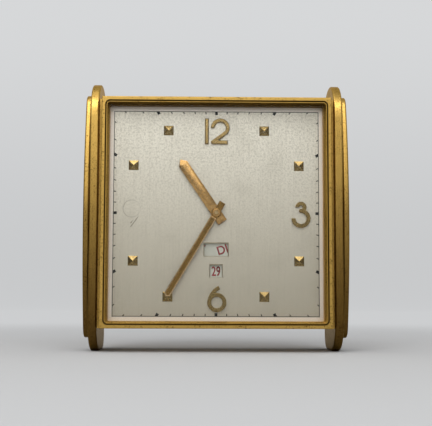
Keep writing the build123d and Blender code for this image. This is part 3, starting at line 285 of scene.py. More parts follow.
def openness(tree, reach):
    """How open a surface is: 0 deep in a corner, 1 where nothing lies within reach."""
    return add(tree, "ShaderNodeAmbientOcclusion", {"Distance": reach}, samples=8).outputs["AO"]


def bumped(tree, height, strength, distance):
    """A normal bumped by a height."""
    inputs = {"Height": height, "Strength": strength, "Distance": distance}
    return add(tree, "ShaderNodeBump", inputs).outputs["Normal"]


def rgba(value):
    """A colour with full alpha."""
    return (*value, 1.0)


def scaled(value, share):
    """A share of a colour."""
    return [part * share for part in value]


def finish(name, **constants):
    """A new material, with its tree, object coordinates and shader."""
    made = bpy.data.materials.new(name)
    made.use_nodes = True
    tree = made.node_tree
    shader = next(each for each in tree.nodes if each.type == "BSDF_PRINCIPLED")
    for key, value in constants.items():
        shader.inputs[key.replace("_", " ")].default_value = value
    coords = add(tree, "ShaderNodeTexCoord").outputs["Object"]
    return made, tree, coords, shader


def feed(tree, shader, **sockets):
    """Links sockets to the inputs of a shader."""
    for key, socket in sockets.items():
        tree.links.new(socket, shader.inputs[key.replace("_", " ")])


# Finishes


def brushing(tree, coords, grain):
    """Fine streaks along a grain, or along each side of the frame's opening."""
    if grain != round_opening:
        return noise(tree, coords, brushing_scale, stretch=grain)
    place = axes(tree, coords)
    sideways, upright = apart(tree, place["X"], hub.x), apart(tree, place["Z"], hub.z)
    on_side = math_node(tree, "GREATER_THAN", sideways, upright)
    up_streaks = noise(tree, coords, brushing_scale, stretch=along_height)
    cross_streaks = noise(tree, coords, brushing_scale, stretch=along_width)
    return add(tree, "ShaderNodeMix", {0: on_side, 2: cross_streaks, 3: up_streaks}).outputs[0]


def frame_grime(tree, coords):
    """Darkening by its distance from the edge of the frame's opening: grime and painted shade along the
    channel, and painted shade on the upper wall, which faces down.
    """
    place = axes(tree, coords)
    up = math_node(tree, "SUBTRACT", place["Z"], hub.z)
    sides = (math_node(tree, "SUBTRACT", place["X"], hub.x), up)
    past = [
        math_node(tree, "SUBTRACT", math_node(tree, "ABSOLUTE", side), half - sight_corner)
        for side, half in zip(sides, sight_half)
    ]
    outer = [math_node(tree, "MAXIMUM", side, 0.0) for side in past]
    inner = math_node(tree, "MINIMUM", math_node(tree, "MAXIMUM", *past), 0.0)
    past_corner = math_node(tree, "ADD", diagonal(tree, *outer), inner)
    reach = math_node(tree, "SUBTRACT", past_corner, sight_corner)
    # Grime and painted shade: a dark line along the channel
    near, far, depth = channel_grime_and_shade
    line = between(tree, apart(tree, reach, channel_reach), near, far, depth, 0.0)
    # Painted shade: the upper wall, which faces down, is darkened
    near, far, depth = wall_shade
    at_top = between(tree, up, sight_half[1] - 2 * sight_corner, sight_half[1])
    shade = math_node(tree, "MULTIPLY", between(tree, reach, near, far, depth, 0.0), at_top)
    return math_node(tree, "MAXIMUM", line, shade)


def brushed_brass(
    name,
    base,
    patina,
    grain,
    roughness,
    grime_and_shade=0.95,
    hollows=(0.20, 0.55),
    darkened=0.0,
    wear=0.25,
    edged=False,
):
    """Satin brass with brushing along its grain and specks of patina, darkened by grime and painted shade
    where surfaces meet and round the frame's opening, and towards the bottom by painted shade where it is
    darkened.
    """
    glancing_tint, dark_share = (0.80, 0.68, 0.50), 0.80
    mottle_scale, mottle_levels, mottle_depth = 170, (0.42, 0.70), 0.45
    speck_scale, speck_levels = 1700, (0.50, 0.70)
    worn_levels, worn_ratio = (0.36, 0.62), 6
    hollow_reach, dirt_roughness = 1.6 * mm, 0.3
    streak_levels, streak_strength, streak_height = (0.25, 0.75), 0.25, 0.02 * mm
    gloss_levels, gloss_spread = (0.2, 0.8), 0.07
    made, tree, coords, shader = finish(name, Metallic=1.0, Specular_Tint=rgba(glancing_tint))
    streaks = brushing(tree, coords, grain)
    mottle = noise(tree, coords, mottle_scale, detail=5)
    specks = between(tree, noise(tree, coords, speck_scale), *speck_levels)
    # Grime and painted shade: darker where other surfaces lie close
    dirt_and_shade = between(tree, openness(tree, hollow_reach), *hollows, grime_and_shade, 0.0)
    patches = between(tree, mottle, *worn_levels, wear / worn_ratio, wear)
    specks_and_shade = math_node(tree, "MAXIMUM", dirt_and_shade, math_node(tree, "MULTIPLY", specks, patches))
    # Grime and painted shade in the channel round the frame's opening, painted shade on its upper wall
    if edged:
        specks_and_shade = math_node(tree, "MAXIMUM", specks_and_shade, frame_grime(tree, coords))
    darker = rgba(scaled(base, dark_share))
    tone = blend(tree, between(tree, streaks, *streak_levels), darker, rgba(base))
    tone = blend(tree, between(tree, mottle, *mottle_levels, 0.0, mottle_depth), tone, darker)
    # Painted shade: darker towards the bottom, fading out by the shoulder height
    low_darkening = between(tree, axes(tree, coords)["Z"], foot_height, shoulder_height, darkened, 0.0)
    tone = blend(tree, low_darkening, tone, rgba(patina))
    tone = blend(tree, specks_and_shade, tone, rgba(patina))
    gloss = between(tree, streaks, *gloss_levels, roughness - gloss_spread, roughness + gloss_spread)
    rough = math_node(tree, "ADD", gloss, math_node(tree, "MULTIPLY", specks_and_shade, dirt_roughness))
    normal = bumped(tree, streaks, streak_strength, streak_height)
    feed(tree, shader, Base_Color=tone, Roughness=rough, Normal=normal)
    return made


def polished_gilt(name, base, patina, roughness, waves, stained=0.25):
    """Gilding with faint wear, small stains, and grime with painted shade at its foot, where other surfaces
    lie close.
    """
    wear_scale, stain_levels = 420, (0.48, 0.72)
    foot_reach, foot_levels, foot_depth = 0.5 * mm, (0.25, 0.70), 0.6
    gloss_levels, smoother, rougher = (0.3, 0.7), 0.06, 0.10
    wave_scale, wave_height = 450, 0.05 * mm
    made, tree, coords, shader = finish(name, Metallic=1.0)
    wear = noise(tree, coords, wear_scale)
    # Grime and painted shade: darker at the foot, where other surfaces lie close
    foot_grime_and_shade = between(tree, openness(tree, foot_reach), *foot_levels, foot_depth, 0.0)
    stain_and_shade = math_node(tree, "MAXIMUM", foot_grime_and_shade, between(tree, wear, *stain_levels, 0.0, stained))
    feed(
        tree,
        shader,
        Base_Color=blend(tree, stain_and_shade, rgba(base), rgba(patina)),
        Roughness=between(tree, wear, *gloss_levels, roughness - smoother, roughness + rougher),
        Normal=bumped(tree, noise(tree, coords, wave_scale, detail=1), waves, wave_height),
    )
    return made


def silvered_dial(name, field, shaded_field, margin, track_reach):
    """Silvered field, grained above and brushed below, with a paler margin and an old numeral's trace; the
    field is painted light at the top and painted shade at the bottom.
    """
    margin_edge, dark_share, trace_tone = 0.3 * mm, 0.72, (0.10, 0.075, 0.05)
    grain_scale, grain_levels, grain_depth = 1350, (0.44, 0.64), 0.42
    grain_heights, least_grain = (-24 * mm, 34 * mm), 0.30
    brush_scale, brush_depth = 2600, 0.16
    cloud_scale, cloud_depth = 90, 0.18
    dark_levels, gloss_levels, gloss = (0.45, 0.75), (0.25, 0.75), (0.36, 0.46)
    relief_strength, relief_height = 0.30, 0.015 * mm
    made, tree, coords, shader = finish(name, Metallic=0.75)
    to_hub = (-hub.x, 0, -hub.z)
    centred = add(tree, "ShaderNodeMapping", {"Vector": coords, "Location": to_hub}).outputs[0]
    place = axes(tree, centred)
    across, up = place["X"], place["Z"]
    furthest = math_node(tree, "MAXIMUM", *(math_node(tree, "ABSOLUTE", way) for way in (across, up)))
    outside = between(tree, furthest, track_reach, track_reach + margin_edge)
    inside = math_node(tree, "SUBTRACT", 1.0, outside)
    grain = between(tree, noise(tree, coords, grain_scale, detail=2), *grain_levels, 0.0, grain_depth)
    sanded = math_node(tree, "MULTIPLY", grain, between(tree, up, *grain_heights, least_grain, 1.0))
    streaks = noise(tree, coords, brush_scale, stretch=along_height)
    cloud = noise(tree, coords, cloud_scale, detail=4)
    darker = rgba(scaled(shaded_field, dark_share))
    # Painted light and shade: the field runs from lit at the top to shaded at the bottom
    tone = blend(tree, between(tree, up, -track_reach, track_reach), rgba(shaded_field), rgba(field))
    tone = blend(tree, sanded, tone, darker)
    tone = blend(tree, between(tree, streaks, *dark_levels, 0.0, brush_depth), tone, darker)
    tone = blend(tree, between(tree, cloud, *dark_levels, 0.0, cloud_depth), tone, darker)
    tone = blend(tree, numeral_trace(tree, across, up), tone, rgba(trace_tone))
    tone = blend(tree, outside, tone, rgba(margin))
    relief = math_node(tree, "MULTIPLY", math_node(tree, "ADD", sanded, streaks), inside)
    feed(
        tree,
        shader,
        Base_Color=tone,
        Roughness=between(tree, streaks, *gloss_levels, *gloss),
        Normal=bumped(tree, relief, relief_strength, relief_height),
    )
    return made


def numeral_trace(tree, across, up):
    """Faint ring and tail that an old numeral left on the dial at nine."""
    ring_across, ring_up, ring_radius = -31.6 * mm, 1.6 * mm, 3.2 * mm
    ring_edge, ring_depth, faint_share = (0.05 * mm, 0.32 * mm), 0.32, 0.35
    tail_turn = math.radians(36.5)
    tail_lines = ((2.84 * mm, -4.7 * mm, 0.9 * mm, 0.62), (2.03 * mm, -3.6 * mm, -1.5 * mm, 0.68))
    tail_edge, tail_start, tail_end = (0.06 * mm, 0.26 * mm), 0.5 * mm, 1.4 * mm
    right = math_node(tree, "SUBTRACT", across, ring_across)
    above = math_node(tree, "SUBTRACT", up, ring_up)
    off_ring = apart(tree, diagonal(tree, right, above), ring_radius)
    ring = between(tree, off_ring, *ring_edge, ring_depth, 0.0)
    fading = between(tree, right, -ring_radius, ring_radius, 1.0, faint_share)
    trace = math_node(tree, "MULTIPLY", ring, fading)
    turns = (math.cos(tail_turn), math.sin(tail_turn))
    up_along, up_aside = (math_node(tree, "MULTIPLY", up, turn) for turn in turns)
    right_aside, right_along = (math_node(tree, "MULTIPLY", right, turn) for turn in turns)
    along = math_node(tree, "ADD", up_along, right_along)
    aside = math_node(tree, "SUBTRACT", right_aside, up_aside)
    for line, low, high, depth in tail_lines:
        stroke = between(tree, apart(tree, aside, line), *tail_edge, depth, 0.0)
        begun = between(tree, along, low, low + tail_start)
        unfinished = between(tree, along, high - tail_end, high, 1.0, 0.0)
        within = math_node(tree, "MULTIPLY", begun, unfinished)
        trace = math_node(tree, "MAXIMUM", trace, math_node(tree, "MULTIPLY", stroke, within))
    return trace


def painted(name, base, roughness, spread=0.12, scale=900):
    """Paint or ink with slightly uneven cover."""
    ground, cover_levels = 0.5, (0.45, 0.75)
    gloss_levels, gloss_spread = (0.3, 0.7), 0.08
    made, tree, coords, shader = finish(name, Metallic=0.0)
    cover = noise(tree, coords, scale, detail=4)
    thin = rgba([share + (ground - share) * spread for share in base])
    feed(
        tree,
        shader,
        Base_Color=blend(tree, between(tree, cover, *cover_levels), rgba(base), thin),
        Roughness=between(tree, cover, *gloss_levels, roughness - gloss_spread, roughness + gloss_spread),
    )
    return made


def worked_metal(name, base, roughness, grain):
    """Machined metal of the movement with fine tool marks and a little oil staining."""
    mark_scale, mark_levels, mark_depth = 4200, (0.3, 0.7), 0.5
    mark_strength, mark_height = 0.2, 0.01 * mm
    oil_scale, oil_levels, oil_depth = 260, (0.52, 0.75), 0.6
    gloss_levels, smoother, rougher = (0.25, 0.75), 0.06, 0.10
    dark_share = 0.6
    made, tree, coords, shader = finish(name, Metallic=1.0)
    marks = noise(tree, coords, mark_scale, stretch=grain)
    oil = noise(tree, coords, oil_scale, detail=4)
    darker = rgba(scaled(base, dark_share))
    tone = blend(tree, between(tree, marks, *mark_levels, 0.0, mark_depth), rgba(base), darker)
    tone = blend(tree, between(tree, oil, *oil_levels, 0.0, oil_depth), tone, darker)
    feed(
        tree,
        shader,
        Base_Color=tone,
        Roughness=between(tree, marks, *gloss_levels, roughness - smoother, roughness + rougher),
        Normal=bumped(tree, marks, mark_strength, mark_height),
    )
    return made


def clear_glass(name):
    """Flat clock glass with faint smears."""
    tint, cover, refraction = (0.08, 0.10, 0.09), 0.05, 1.5
    smear_scale, smear_levels, gloss = 60, (0.4, 0.8), (0.04, 0.12)
    made, tree, coords, shader = finish(
        name, Metallic=0.0, Base_Color=rgba(tint), Alpha=cover, IOR=refraction
    )
    smear = noise(tree, coords, smear_scale, detail=4)
    feed(tree, shader, Roughness=between(tree, smear, *smear_levels, *gloss))
    return made


def pale_paper(name, floor, backdrop, wall_height):
    """Matt paper that keeps a shadow near the clock and shows the backdrop's colour further off, dimmer
    towards the floor as painted shade.
    """
    roughness, near_floor, far_floor = 0.9, 0.10, 0.42
    cloud_scale, cloud_depth, low_share = 3, 0.04, 0.84
    made, tree, coords, shader = finish(name, Metallic=0.0, Roughness=roughness)
    cloud = noise(tree, coords, cloud_scale, detail=2)
    rays = add(tree, "ShaderNodeLightPath").outputs
    seen = math_node(tree, "MAXIMUM", rays["Is Camera Ray"], rays["Is Glossy Ray"])
    seen = math_node(tree, "MAXIMUM", seen, rays["Is Transmission Ray"])
    reach = add(tree, "ShaderNodeVectorMath", {0: coords}, operation="LENGTH").outputs["Value"]
    glow = math_node(tree, "MULTIPLY", seen, between(tree, reach, near_floor, far_floor))
    paper = blend(tree, math_node(tree, "MULTIPLY", cloud, cloud_depth), rgba(floor), black)
    # Painted shade: the backdrop's colour is dimmer at the floor and full at the wall height
    rising = between(tree, axes(tree, coords)["Z"], 0, wall_height)
    feed(
        tree,
        shader,
        Base_Color=blend(tree, glow, paper, black),
        Emission_Color=blend(tree, rising, rgba(scaled(backdrop, low_share)), rgba(backdrop)),
        Emission_Strength=glow,
    )
    return made


def dress(material, *nodes):
    """Gives frame nodes a material."""
    for node in nodes:
        mesh = frame["nodes"][node].data
        mesh.materials.clear()
        mesh.materials.append(material)


def nodes_of(slot):
    """The frame's nodes that take one material slot."""
    return [part["node"] for part in frame["record"]["subparts"] if part["material_slot"] == slot]


# Mesh helpers


def piece(name, shape, material, body):
    """Turns a bmesh into a finished piece that rides on a body."""
    mesh = bpy.data.meshes.new(name)
    shape.to_mesh(mesh)
    shape.free()
    mesh.materials.append(material)
    made = bpy.data.objects.new(name, mesh)
    bpy.context.scene.collection.objects.link(made)
    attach(made, body)
    return made


def smooth(made):
    """Shades a piece smooth, apart from its creases."""
    made.data.shade_smooth()
    made.data.set_sharp_from_angle(angle=crease)


def copy_of(node):
    """A copy of a frame node's mesh, merged from its loose triangles."""
    shape = bmesh.new()
    shape.from_mesh(frame["nodes"][node].data)
    bmesh.ops.remove_doubles(shape, verts=shape.verts, dist=merge_reach)
    return shape


def only(kind, geometry):
    """The items of one kind in mixed geometry."""
    return [item for item in geometry if isinstance(item, kind)]


def thicken(shape, faces, height):
    """Raises flat faces by a height over sides of their own, and gives back the raised faces."""
    grown = bmesh.ops.extrude_face_region(shape, geom=faces)["geom"]
    bmesh.ops.translate(shape, verts=only(bmesh.types.BMVert, grown), vec=(0, 0, height))
    bmesh.ops.recalc_face_normals(shape, faces=shape.faces[:])
    return only(bmesh.types.BMFace, grown)


def lettering(words, height, width):
    """A flat mesh of words at a height and width, centred on its middle."""
    curve = bpy.data.curves.new(words, "FONT")
    curve.body = words
    curve.offset = boldness
    holder = bpy.data.objects.new(words, curve)
    bpy.context.scene.collection.objects.link(holder)
    bpy.context.view_layer.update()
    drawn = holder.evaluated_get(bpy.context.evaluated_depsgraph_get())
    mesh = bpy.data.meshes.new_from_object(drawn)
    bpy.data.objects.remove(holder)
    bpy.data.curves.remove(curve)
    low = Vector([min(vert.co[axis] for vert in mesh.vertices) for axis in range(3)])
    high = Vector([max(vert.co[axis] for vert in mesh.vertices) for axis in range(3)])
    size = high - low
    fit = Matrix.Diagonal((width / size.x, height / size.y, 1, 1))
    mesh.transform(fit @ Matrix.Translation(-(low + high) / 2))
    return mesh


def print_words(shape, words, height, width, place, ink_height):
    """Adds raised words at a place."""
    mesh = lettering(words, height, width)
    letters = bmesh.new()
    letters.from_mesh(mesh)
    bmesh.ops.remove_doubles(letters, verts=letters.verts, dist=merge_reach)
    thicken(letters, letters.faces[:], ink_height)
    letters.to_mesh(mesh)
    letters.free()
    mesh.transform(place)
    shape.from_mesh(mesh)
    bpy.data.meshes.remove(mesh)


# Operators


class CLOCK_OT_finish_case(bpy.types.Operator):
    """Give the frame, plates, case and controls their brass"""

    bl_idname = "clock.finish_case"
    bl_label = "Finish Case"

    def execute(self, context):
        look = context.scene.desk_clock.finishes
        base, patina = look.brass[:], look.patina[:]
        rim, band = scaled(base, 0.94), scaled(base, 0.86)
        opening = {"grain": round_opening, "hollows": (0.10, 0.36), "edged": True}
        edging = brushed_brass("satin frame brass", rim, patina, roughness=0.34, wear=0.8, **opening)
        dress(edging, *nodes_of("frame_brass"))
        # Painted shade darkens the plates towards their feet
        plate = brushed_brass(
            "satin plate brass", base, patina, along_height, roughness=0.30, darkened=0.85, wear=0.8
        )
        dress(plate, *nodes_of("plate_brass"))
        case = brushed_brass("brushed case brass", band, patina, along_width, roughness=0.36)
        dress(case, *nodes_of("case_brass"))
        control = brushed_brass(
            "turned control brass", base, patina, along_depth, roughness=0.24, grime_and_shade=0.5
        )
        dress(control, *nodes_of("control_brass"))
        ring = brushed_brass("satin retainer brass", rim, patina, roughness=0.40, grime_and_shade=0.4, **opening)
        dress(ring, "glass_retainer")
        dress(clear_glass("flat clock glass"), *nodes_of("crystal"))
        return {"FINISHED"}


class CLOCK_OT_finish_dial(bpy.types.Operator):
    """Give the dial, its fittings and the calendar discs their finishes"""

    bl_idname = "clock.finish_dial"
    bl_label = "Finish Dial"

    def execute(self, context):
        clock = context.scene.desk_clock
        look = clock.finishes
        patina = look.patina[:]
        fields = look.silver[:], look.yellowed[:], look.margin[:]
        dial = silvered_dial("silvered dial", *fields, clock.printed.track_reach)
        dress(dial, *nodes_of("silvered_dial"))
        gilt = polished_gilt("polished gilt", look.gilt[:], patina, roughness=0.20, waves=0.05)
        dress(gilt, *nodes_of("gilt_fittings"))
        rose = polished_gilt("rose gilt", look.rose[:], patina, roughness=0.15, waves=0.25, stained=0.38)
        dress(rose, "hour_hand", "hand_nut")
        bronze = polished_gilt(
            "browned gilt", look.bronze[:], patina, roughness=0.16, waves=0.15, stained=0.5
        )
        dress(bronze, "minute_hand")
        paint = painted("calendar white paint", look.disc[:], roughness=0.5)
        dress(paint, *nodes_of("calendar_white"))
        return {"FINISHED"}


class CLOCK_OT_finish_movement(bpy.types.Operator):
    """Give the movement its brass, steel and blued springs"""

    bl_idname = "clock.finish_movement"
    bl_label = "Finish Movement"

    def execute(self, context):
        look = context.scene.desk_clock.finishes
        brass = worked_metal("movement brass", look.brass[:], roughness=0.30, grain=along_width)
        dress(brass, *nodes_of("movement_brass"))
        steel = worked_metal("movement steel", look.steel[:], roughness=0.26, grain=along_height)
        dress(steel, *nodes_of("movement_steel"))
        straw = worked_metal("straw tempered steel", look.straw[:], roughness=0.24, grain=along_height)
        dress(straw, "centre_arbor")
        blued = worked_metal("blued spring steel", look.blued[:], roughness=0.24, grain=along_width)
        dress(blued, *nodes_of("spring_steel"))
        return {"FINISHED"}


class CLOCK_OT_print_track(bpy.types.Operator):
    """Print the square minute track on the dial"""

    bl_idname = "clock.print_track"
    bl_label = "Print Minute Track"

    def execute(self, context):
        clock = context.scene.desk_clock
        sizes = clock.printed
        shape = bmesh.new()
        self.ticks(shape, sizes)
        self.trim(shape, sizes.track_reach)
        self.line(shape, sizes)
        shape.transform(dial_plane)
        ink = painted("dial ink", clock.finishes.ink[:], roughness=0.70, spread=0.03, scale=ink_scale)
        piece("minute_track", shape, ink, "case")
        return {"FINISHED"}

    def ticks(self, shape, sizes):
        """Bars that point at the hub and reach past the track, broader at every fifth minute."""
        minutes, minutes_per_mark = 60, 5
        tick, mark = (sizes.tick_length, sizes.tick_width), (sizes.mark_length, sizes.mark_width)
        lift = sizes.ink_height
        for minute in range(minutes):
            long, wide = tick if minute % minutes_per_mark else mark
            turn = math.radians(360 / minutes * minute)
            side = sizes.track_reach / max(abs(math.sin(turn)), abs(math.cos(turn)))
            middle = Matrix.Translation((0, side - (long - wide) / 2, lift / 2))
            size = Matrix.Diagonal((wide, long + wide, lift, 1.0))
            spin = Matrix.Rotation(-turn, 4, "Z")
            bmesh.ops.create_cube(shape, size=1.0, matrix=spin @ middle @ size)

    def trim(self, shape, reach):
        """Cuts off what reaches past the four sides of the track."""
        for quarter in range(4):
            normal = Matrix.Rotation(math.radians(90 * quarter), 3, "Z") @ Vector((0, 1, 0))
            cut = bmesh.ops.bisect_plane(
                shape,
                geom=shape.verts[:] + shape.edges[:] + shape.faces[:],
                plane_co=normal * reach,
                plane_no=normal,
                clear_outer=True,
            )["geom_cut"]
            bmesh.ops.holes_fill(shape, edges=only(bmesh.types.BMEdge, cut), sides=0)

    def line(self, shape, sizes):
        """The square line round the ticks."""
        square = bmesh.ops.create_grid(shape, x_segments=1, y_segments=1, size=sizes.track_reach)["verts"]
        field = list({face for vert in square for face in vert.link_faces})
        ring = bmesh.ops.inset_region(
            shape, faces=field, thickness=sizes.track_line, use_boundary=True, use_even_offset=True
        )["faces"]
        bmesh.ops.delete(shape, geom=field, context="FACES")
        thicken(shape, ring, sizes.ink_height)


class CLOCK_OT_print_days(bpy.types.Operator):
    """Print the weekday names on the day disc"""

    bl_idname = "clock.print_days"
    bl_label = "Print Weekdays"

    def execute(self, context):
        clock = context.scene.desk_clock
        sizes = clock.printed
        names = ("LUN", "MAR", "MER", "JEU", "VEN", "SAM", "DIM")
        shape = bmesh.new()
        for index, name in enumerate(names):
            turn = sizes.day_turn + (index - len(names) + 1) * math.tau / len(names)
            place = Matrix.Rotation(turn, 4, "Z") @ Matrix.Translation((0, -sizes.day_reach, 0))
            print_words(shape, name, sizes.day_height, sizes.day_width, day_plane @ place, sizes.ink_height)
        ink = painted("weekday red", clock.finishes.red[:], roughness=0.5, spread=0.08, scale=ink_scale)
        piece("day_names", shape, ink, "day_disc")
        return {"FINISHED"}


class CLOCK_OT_print_dates(bpy.types.Operator):
    """Print the dates on the date ring"""

    bl_idname = "clock.print_dates"
    bl_label = "Print Dates"

    def execute(self, context):
        clock = context.scene.desk_clock
        sizes = clock.printed
        days, shown = 31, 29
        shape = bmesh.new()
        for day in range(1, days + 1):
            words = str(day)
            turn = (day - shown) * math.tau / days
            place = Matrix.Rotation(turn, 4, "Z") @ Matrix.Translation((0, -sizes.date_reach, 0))
            width = sizes.date_digit * len(words)
            print_words(shape, words, sizes.date_height, width, date_plane @ place, sizes.ink_height)
        ink = painted("date red", clock.finishes.red[:], roughness=0.5, spread=0.08, scale=ink_scale)
        piece("date_numbers", shape, ink, "date_ring")
        return {"FINISHED"}


class CLOCK_OT_ease_numerals(bpy.types.Operator):
    """Stand a numeral with eased edges in place of each plain one"""

    bl_idname = "clock.ease_numerals"
    bl_label = "Ease Numerals"

    def execute(self, context):
        edge = context.scene.desk_clock.hands.numeral_edge
        flat = math.radians(1)
        for node in ("numeral_12", "numeral_3", "numeral_6"):
            gilt = frame["nodes"][node].data.materials[0]
            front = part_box(node)[0].y
            shape = copy_of(node)
            bmesh.ops.dissolve_limit(shape, angle_limit=flat, verts=shape.verts, edges=shape.edges)
            rims = [rim for rim in shape.edges if self.on_front(rim, front)]
            if not rims:
                raise RuntimeError(f"no front edges on {node}")
            bmesh.ops.bevel(
                shape,
                geom=rims,
                offset=edge,
                affect="EDGES",
                segments=3,
                profile=0.5,
                material=-1,
                clamp_overlap=True,
            )
            made = piece(f"eased_{node}", shape, gilt, "case")
            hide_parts(node)
        return {"FINISHED"}

    def on_front(self, rim, front):
        """Whether an edge runs round the front face."""
        slack, corner = 0.01 * mm, math.radians(60)
        level = all(abs(vert.co.y - front) < slack for vert in rim.verts)
        return level and rim.calc_face_angle(0) > corner


class CLOCK_OT_crown_hands(bpy.types.Operator):
    """Crown the hour hand with a dome and the minute hand with a bevel, whose slopes take a paler gilt as a
    painted highlight
    """

    bl_idname = "clock.crown_hands"
    bl_label = "Crown Hands"

    def execute(self, context):
        sizes, look = context.scene.desk_clock.hands, context.scene.desk_clock.finishes
        dome = [(share, 1 - (1 - share) ** 3) for share in (0.06, 0.14, 0.24, 0.36, 0.52, 0.70, 0.90)]
        bevel = [(0.34, 1.0)]
        hour = (sizes.hour_width, sizes.hour_point, sizes.hour_start, sizes.hour_crown)
        minute = (sizes.minute_width, sizes.minute_point, sizes.minute_start, sizes.minute_crown)
        self.crown("hour", *hour, dome, sizes.edge)
        made = self.crown("minute", *minute, bevel, sizes.edge, slope_material=1)
        # Painted highlight: the bevel's slopes take a paler gilt
        worn = polished_gilt("worn gilt", look.worn[:], look.patina[:], roughness=0.24, waves=0.05)
        made.data.materials.append(worn)
        return {"FINISHED"}

    def crown(self, hand, width, point, start, rise, profile, edge, slope_material=0):
        """A raised top over a hand's blade, by a profile of shares of its half width and rise."""
        node = f"{hand}_hand"
        mesh = frame["nodes"][node].data
        rays = [(vert.co.x - hub.x, vert.co.z - hub.z) for vert in mesh.vertices]
        tip = max(rays, key=lambda ray: math.hypot(*ray))
        reach, turn = math.hypot(*tip), math.atan2(*tip)
        half, shoulder = width / 2, reach - point
        outline = [(-half, start), (half, start), (half, shoulder), (0, reach), (-half, shoulder)]
        shape = bmesh.new()
        blade = shape.faces.new([shape.verts.new((across, along, 0)) for across, along in outline])
        top = thicken(shape, [blade], edge)
        inset, height = 0, 0
        for share, level in profile:
            slopes = bmesh.ops.inset_region(
                shape,
                faces=top,
                thickness=(share - inset) * half,
                depth=(level - height) * rise,
                use_even_offset=True,
            )["faces"]
            for slope in slopes:
                slope.material_index = slope_material
            inset, height = share, level
        front = Matrix.Translation((hub.x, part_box(node)[0].y + edge, hub.z)) @ facing
        shape.transform(front @ Matrix.Rotation(-turn, 4, "Z"))
        made = piece(f"{hand}_hand_crown", shape, mesh.materials[0], hand)
        smooth(made)
        return made


class CLOCK_OT_fit_springs(bpy.types.Operator):
    """Stand a smooth copy of each button spring in its place"""

    bl_idname = "clock.fit_springs"
    bl_label = "Fit Button Springs"

    def execute(self, context):
        joints = frame["record"]["behaviour"]["joints"]
        springs = [(joint, spring) for joint in joints for spring in joint.get("deforming_nodes", [])]
        if not springs:
            raise RuntimeError("no joint of the frame has a spring")
        for joint, spring in springs:
            node, fixed_end = spring["node"], spring["fixed_end_y_m"]
            blued = frame["nodes"][node].data.materials[0]
            made = piece(f"springy_{node}", copy_of(node), blued, "case")
            smooth(made)
            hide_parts(node)
            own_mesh(made)
        return {"FINISHED"}


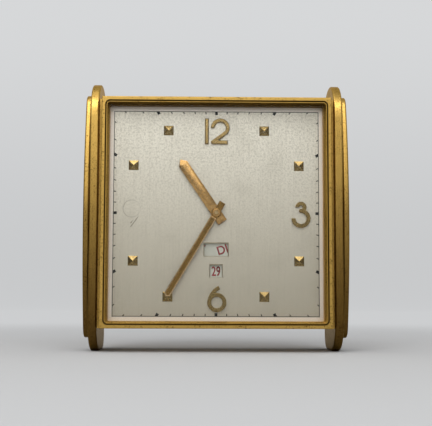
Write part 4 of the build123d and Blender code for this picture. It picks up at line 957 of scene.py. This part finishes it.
class CLOCK_OT_set_stage(bpy.types.Operator):
    """Set the pale sweep, the soft lights, the world and the camera"""

    bl_idname = "clock.set_stage"
    bl_label = "Set Stage"

    def execute(self, context):
        stage = context.scene.desk_clock.stage
        right_share = 0.75
        right_window = stage.window * right_share
        self.sweep(context, stage)
        self.light(context, "key light", place=(-0.22, -0.20, 0.85), size=0.60, power=stage.key)
        self.light(context, "left window", place=(-0.23, -0.62, 0.85), size=0.42, power=stage.window)
        self.light(context, "right window", place=(0.25, -0.62, 0.85), size=0.42, power=right_window)
        self.light(context, "front light", place=(-0.15, -0.95, 0.58), size=0.80, power=stage.front)
        self.light(context, "fill light", place=(0.10, -1.00, 0.12), size=1.20, power=stage.fill)
        self.world(context, stage)
        self.camera(context, stage)
        context.scene.view_settings.view_transform = "Standard"
        return {"FINISHED"}

    def sweep(self, context, stage):
        """Floor that curves up into a backdrop."""
        front, turn_start, radius, rise, half_width = -6.0, 1.0, 0.4, 1.8, 6.0
        shape = bmesh.new()
        floor = [shape.verts.new((-half_width, along, 0)) for along in (front, turn_start)]
        shape.edges.new(floor)
        bmesh.ops.spin(
            shape,
            geom=[floor[1]],
            cent=(-half_width, turn_start, radius),
            axis=(1, 0, 0),
            angle=math.radians(90),
            steps=24,
        )
        shape.verts.ensure_lookup_table()
        top = max(shape.verts, key=lambda vert: vert.co.z)
        shape.edges.new((top, shape.verts.new((-half_width, top.co.y, rise))))
        grown = bmesh.ops.extrude_edge_only(shape, edges=shape.edges[:])["geom"]
        far = only(bmesh.types.BMVert, grown)
        bmesh.ops.translate(shape, verts=far, vec=(2 * half_width, 0, 0))
        bmesh.ops.recalc_face_normals(shape, faces=shape.faces[:])
        mesh = bpy.data.meshes.new("sweep")
        shape.to_mesh(mesh)
        shape.free()
        mesh.shade_smooth()
        mesh.materials.append(pale_paper("pale sweep", stage.floor[:], stage.backdrop[:], rise / 3))
        sweep = bpy.data.objects.new("sweep", mesh)
        context.scene.collection.objects.link(sweep)

    def light(self, context, name, place, size, power):
        """A square soft light that faces the clock."""
        data = bpy.data.lights.new(name, "AREA")
        data.size = size
        data.energy = power
        lamp = bpy.data.objects.new(name, data)
        lamp.location = place
        lamp.rotation_euler = (Vector(place) - hub).to_track_quat("Z", "Y").to_euler()
        lamp.visible_camera = False
        context.scene.collection.objects.link(lamp)

    def world(self, context, stage):
        """Soft sky, bright above and dim near the floor, which the camera sees as the backdrop."""
        # Brightness by height, from straight down at 0 to straight up at 1
        stops = {0.0: 0.04, 0.49: 0.06, 0.53: 0.15, 0.60: 0.36, 0.70: 0.50, 1.0: 0.54}
        world = bpy.data.worlds.new("studio")
        world.use_nodes = True
        tree = world.node_tree
        background = next(each for each in tree.nodes if each.type == "BACKGROUND")
        ray = add(tree, "ShaderNodeTexCoord").outputs["Generated"]
        upward = {"Value": axes(tree, ray)["Z"], "From Min": -1.0}
        height = add(tree, "ShaderNodeMapRange", upward).outputs["Result"]
        ramp = add(tree, "ShaderNodeValToRGB", {0: height})
        elements = ramp.color_ramp.elements
        while len(elements) < len(stops):
            elements.new(0.5)
        for element, (position, level) in zip(elements, stops.items()):
            element.position = position
            element.color = rgba((level, level, level))
        seen = add(tree, "ShaderNodeLightPath").outputs["Is Camera Ray"]
        shown = blend(tree, seen, ramp.outputs[0], rgba(stage.backdrop[:]))
        tree.links.new(shown, background.inputs["Color"])
        context.scene.world = world

    def camera(self, context, stage):
        """Camera at the front, a little below the middle of the dial."""
        data = bpy.data.cameras.new("camera")
        data.sensor_width = 36
        data.lens = stage.focal_length
        data.clip_start = 10 * mm
        made = bpy.data.objects.new("camera", data)
        level = Matrix.Rotation(math.radians(90), 4, "X")
        pitch = Matrix.Rotation(stage.camera_pitch, 4, "X")
        yaw, roll = (Matrix.Rotation(turn, 4, "Z") for turn in (stage.camera_yaw, stage.camera_roll))
        middle = Vector((hub.x, dial_front, hub.z))
        turn = yaw @ pitch @ level @ roll
        made.matrix_world = Matrix.Translation(middle + Vector(stage.camera_place)) @ turn
        context.scene.collection.objects.link(made)
        context.scene.camera = made


operators = (
    CLOCK_OT_finish_case,
    CLOCK_OT_finish_dial,
    CLOCK_OT_finish_movement,
    CLOCK_OT_print_track,
    CLOCK_OT_print_days,
    CLOCK_OT_print_dates,
    CLOCK_OT_ease_numerals,
    CLOCK_OT_crown_hands,
    CLOCK_OT_fit_springs,
    CLOCK_OT_set_stage,
)


class CLOCK_PT_panel(bpy.types.Panel):
    """Sidebar panel that lists the steps of dressing the clock"""

    bl_idname = "CLOCK_PT_panel"
    bl_label = "Desk Clock"
    bl_space_type = "VIEW_3D"
    bl_region_type = "UI"
    bl_category = "Desk Clock"

    def draw(self, context):
        for operator in operators:
            self.layout.operator(operator.bl_idname)


classes = (ClockFinishes, ClockPrint, ClockHands, ClockStage, DeskClock, *operators, CLOCK_PT_panel)


def register():
    for each in classes:
        bpy.utils.register_class(each)
    bpy.types.Scene.desk_clock = bpy.props.PointerProperty(
        type=DeskClock, name="Desk clock", description="The clock"
    )


def unregister():
    del bpy.types.Scene.desk_clock
    for each in reversed(classes):
        bpy.utils.unregister_class(each)


def main():
    """Dresses the clock."""
    register()
    bpy.ops.clock.finish_case()
    bpy.ops.clock.finish_dial()
    bpy.ops.clock.finish_movement()
    bpy.ops.clock.print_track()
    bpy.ops.clock.print_days()
    bpy.ops.clock.print_dates()
    bpy.ops.clock.ease_numerals()
    bpy.ops.clock.crown_hands()
    bpy.ops.clock.fit_springs()
    bpy.ops.clock.set_stage()


if __name__ == "__main__":
    main()
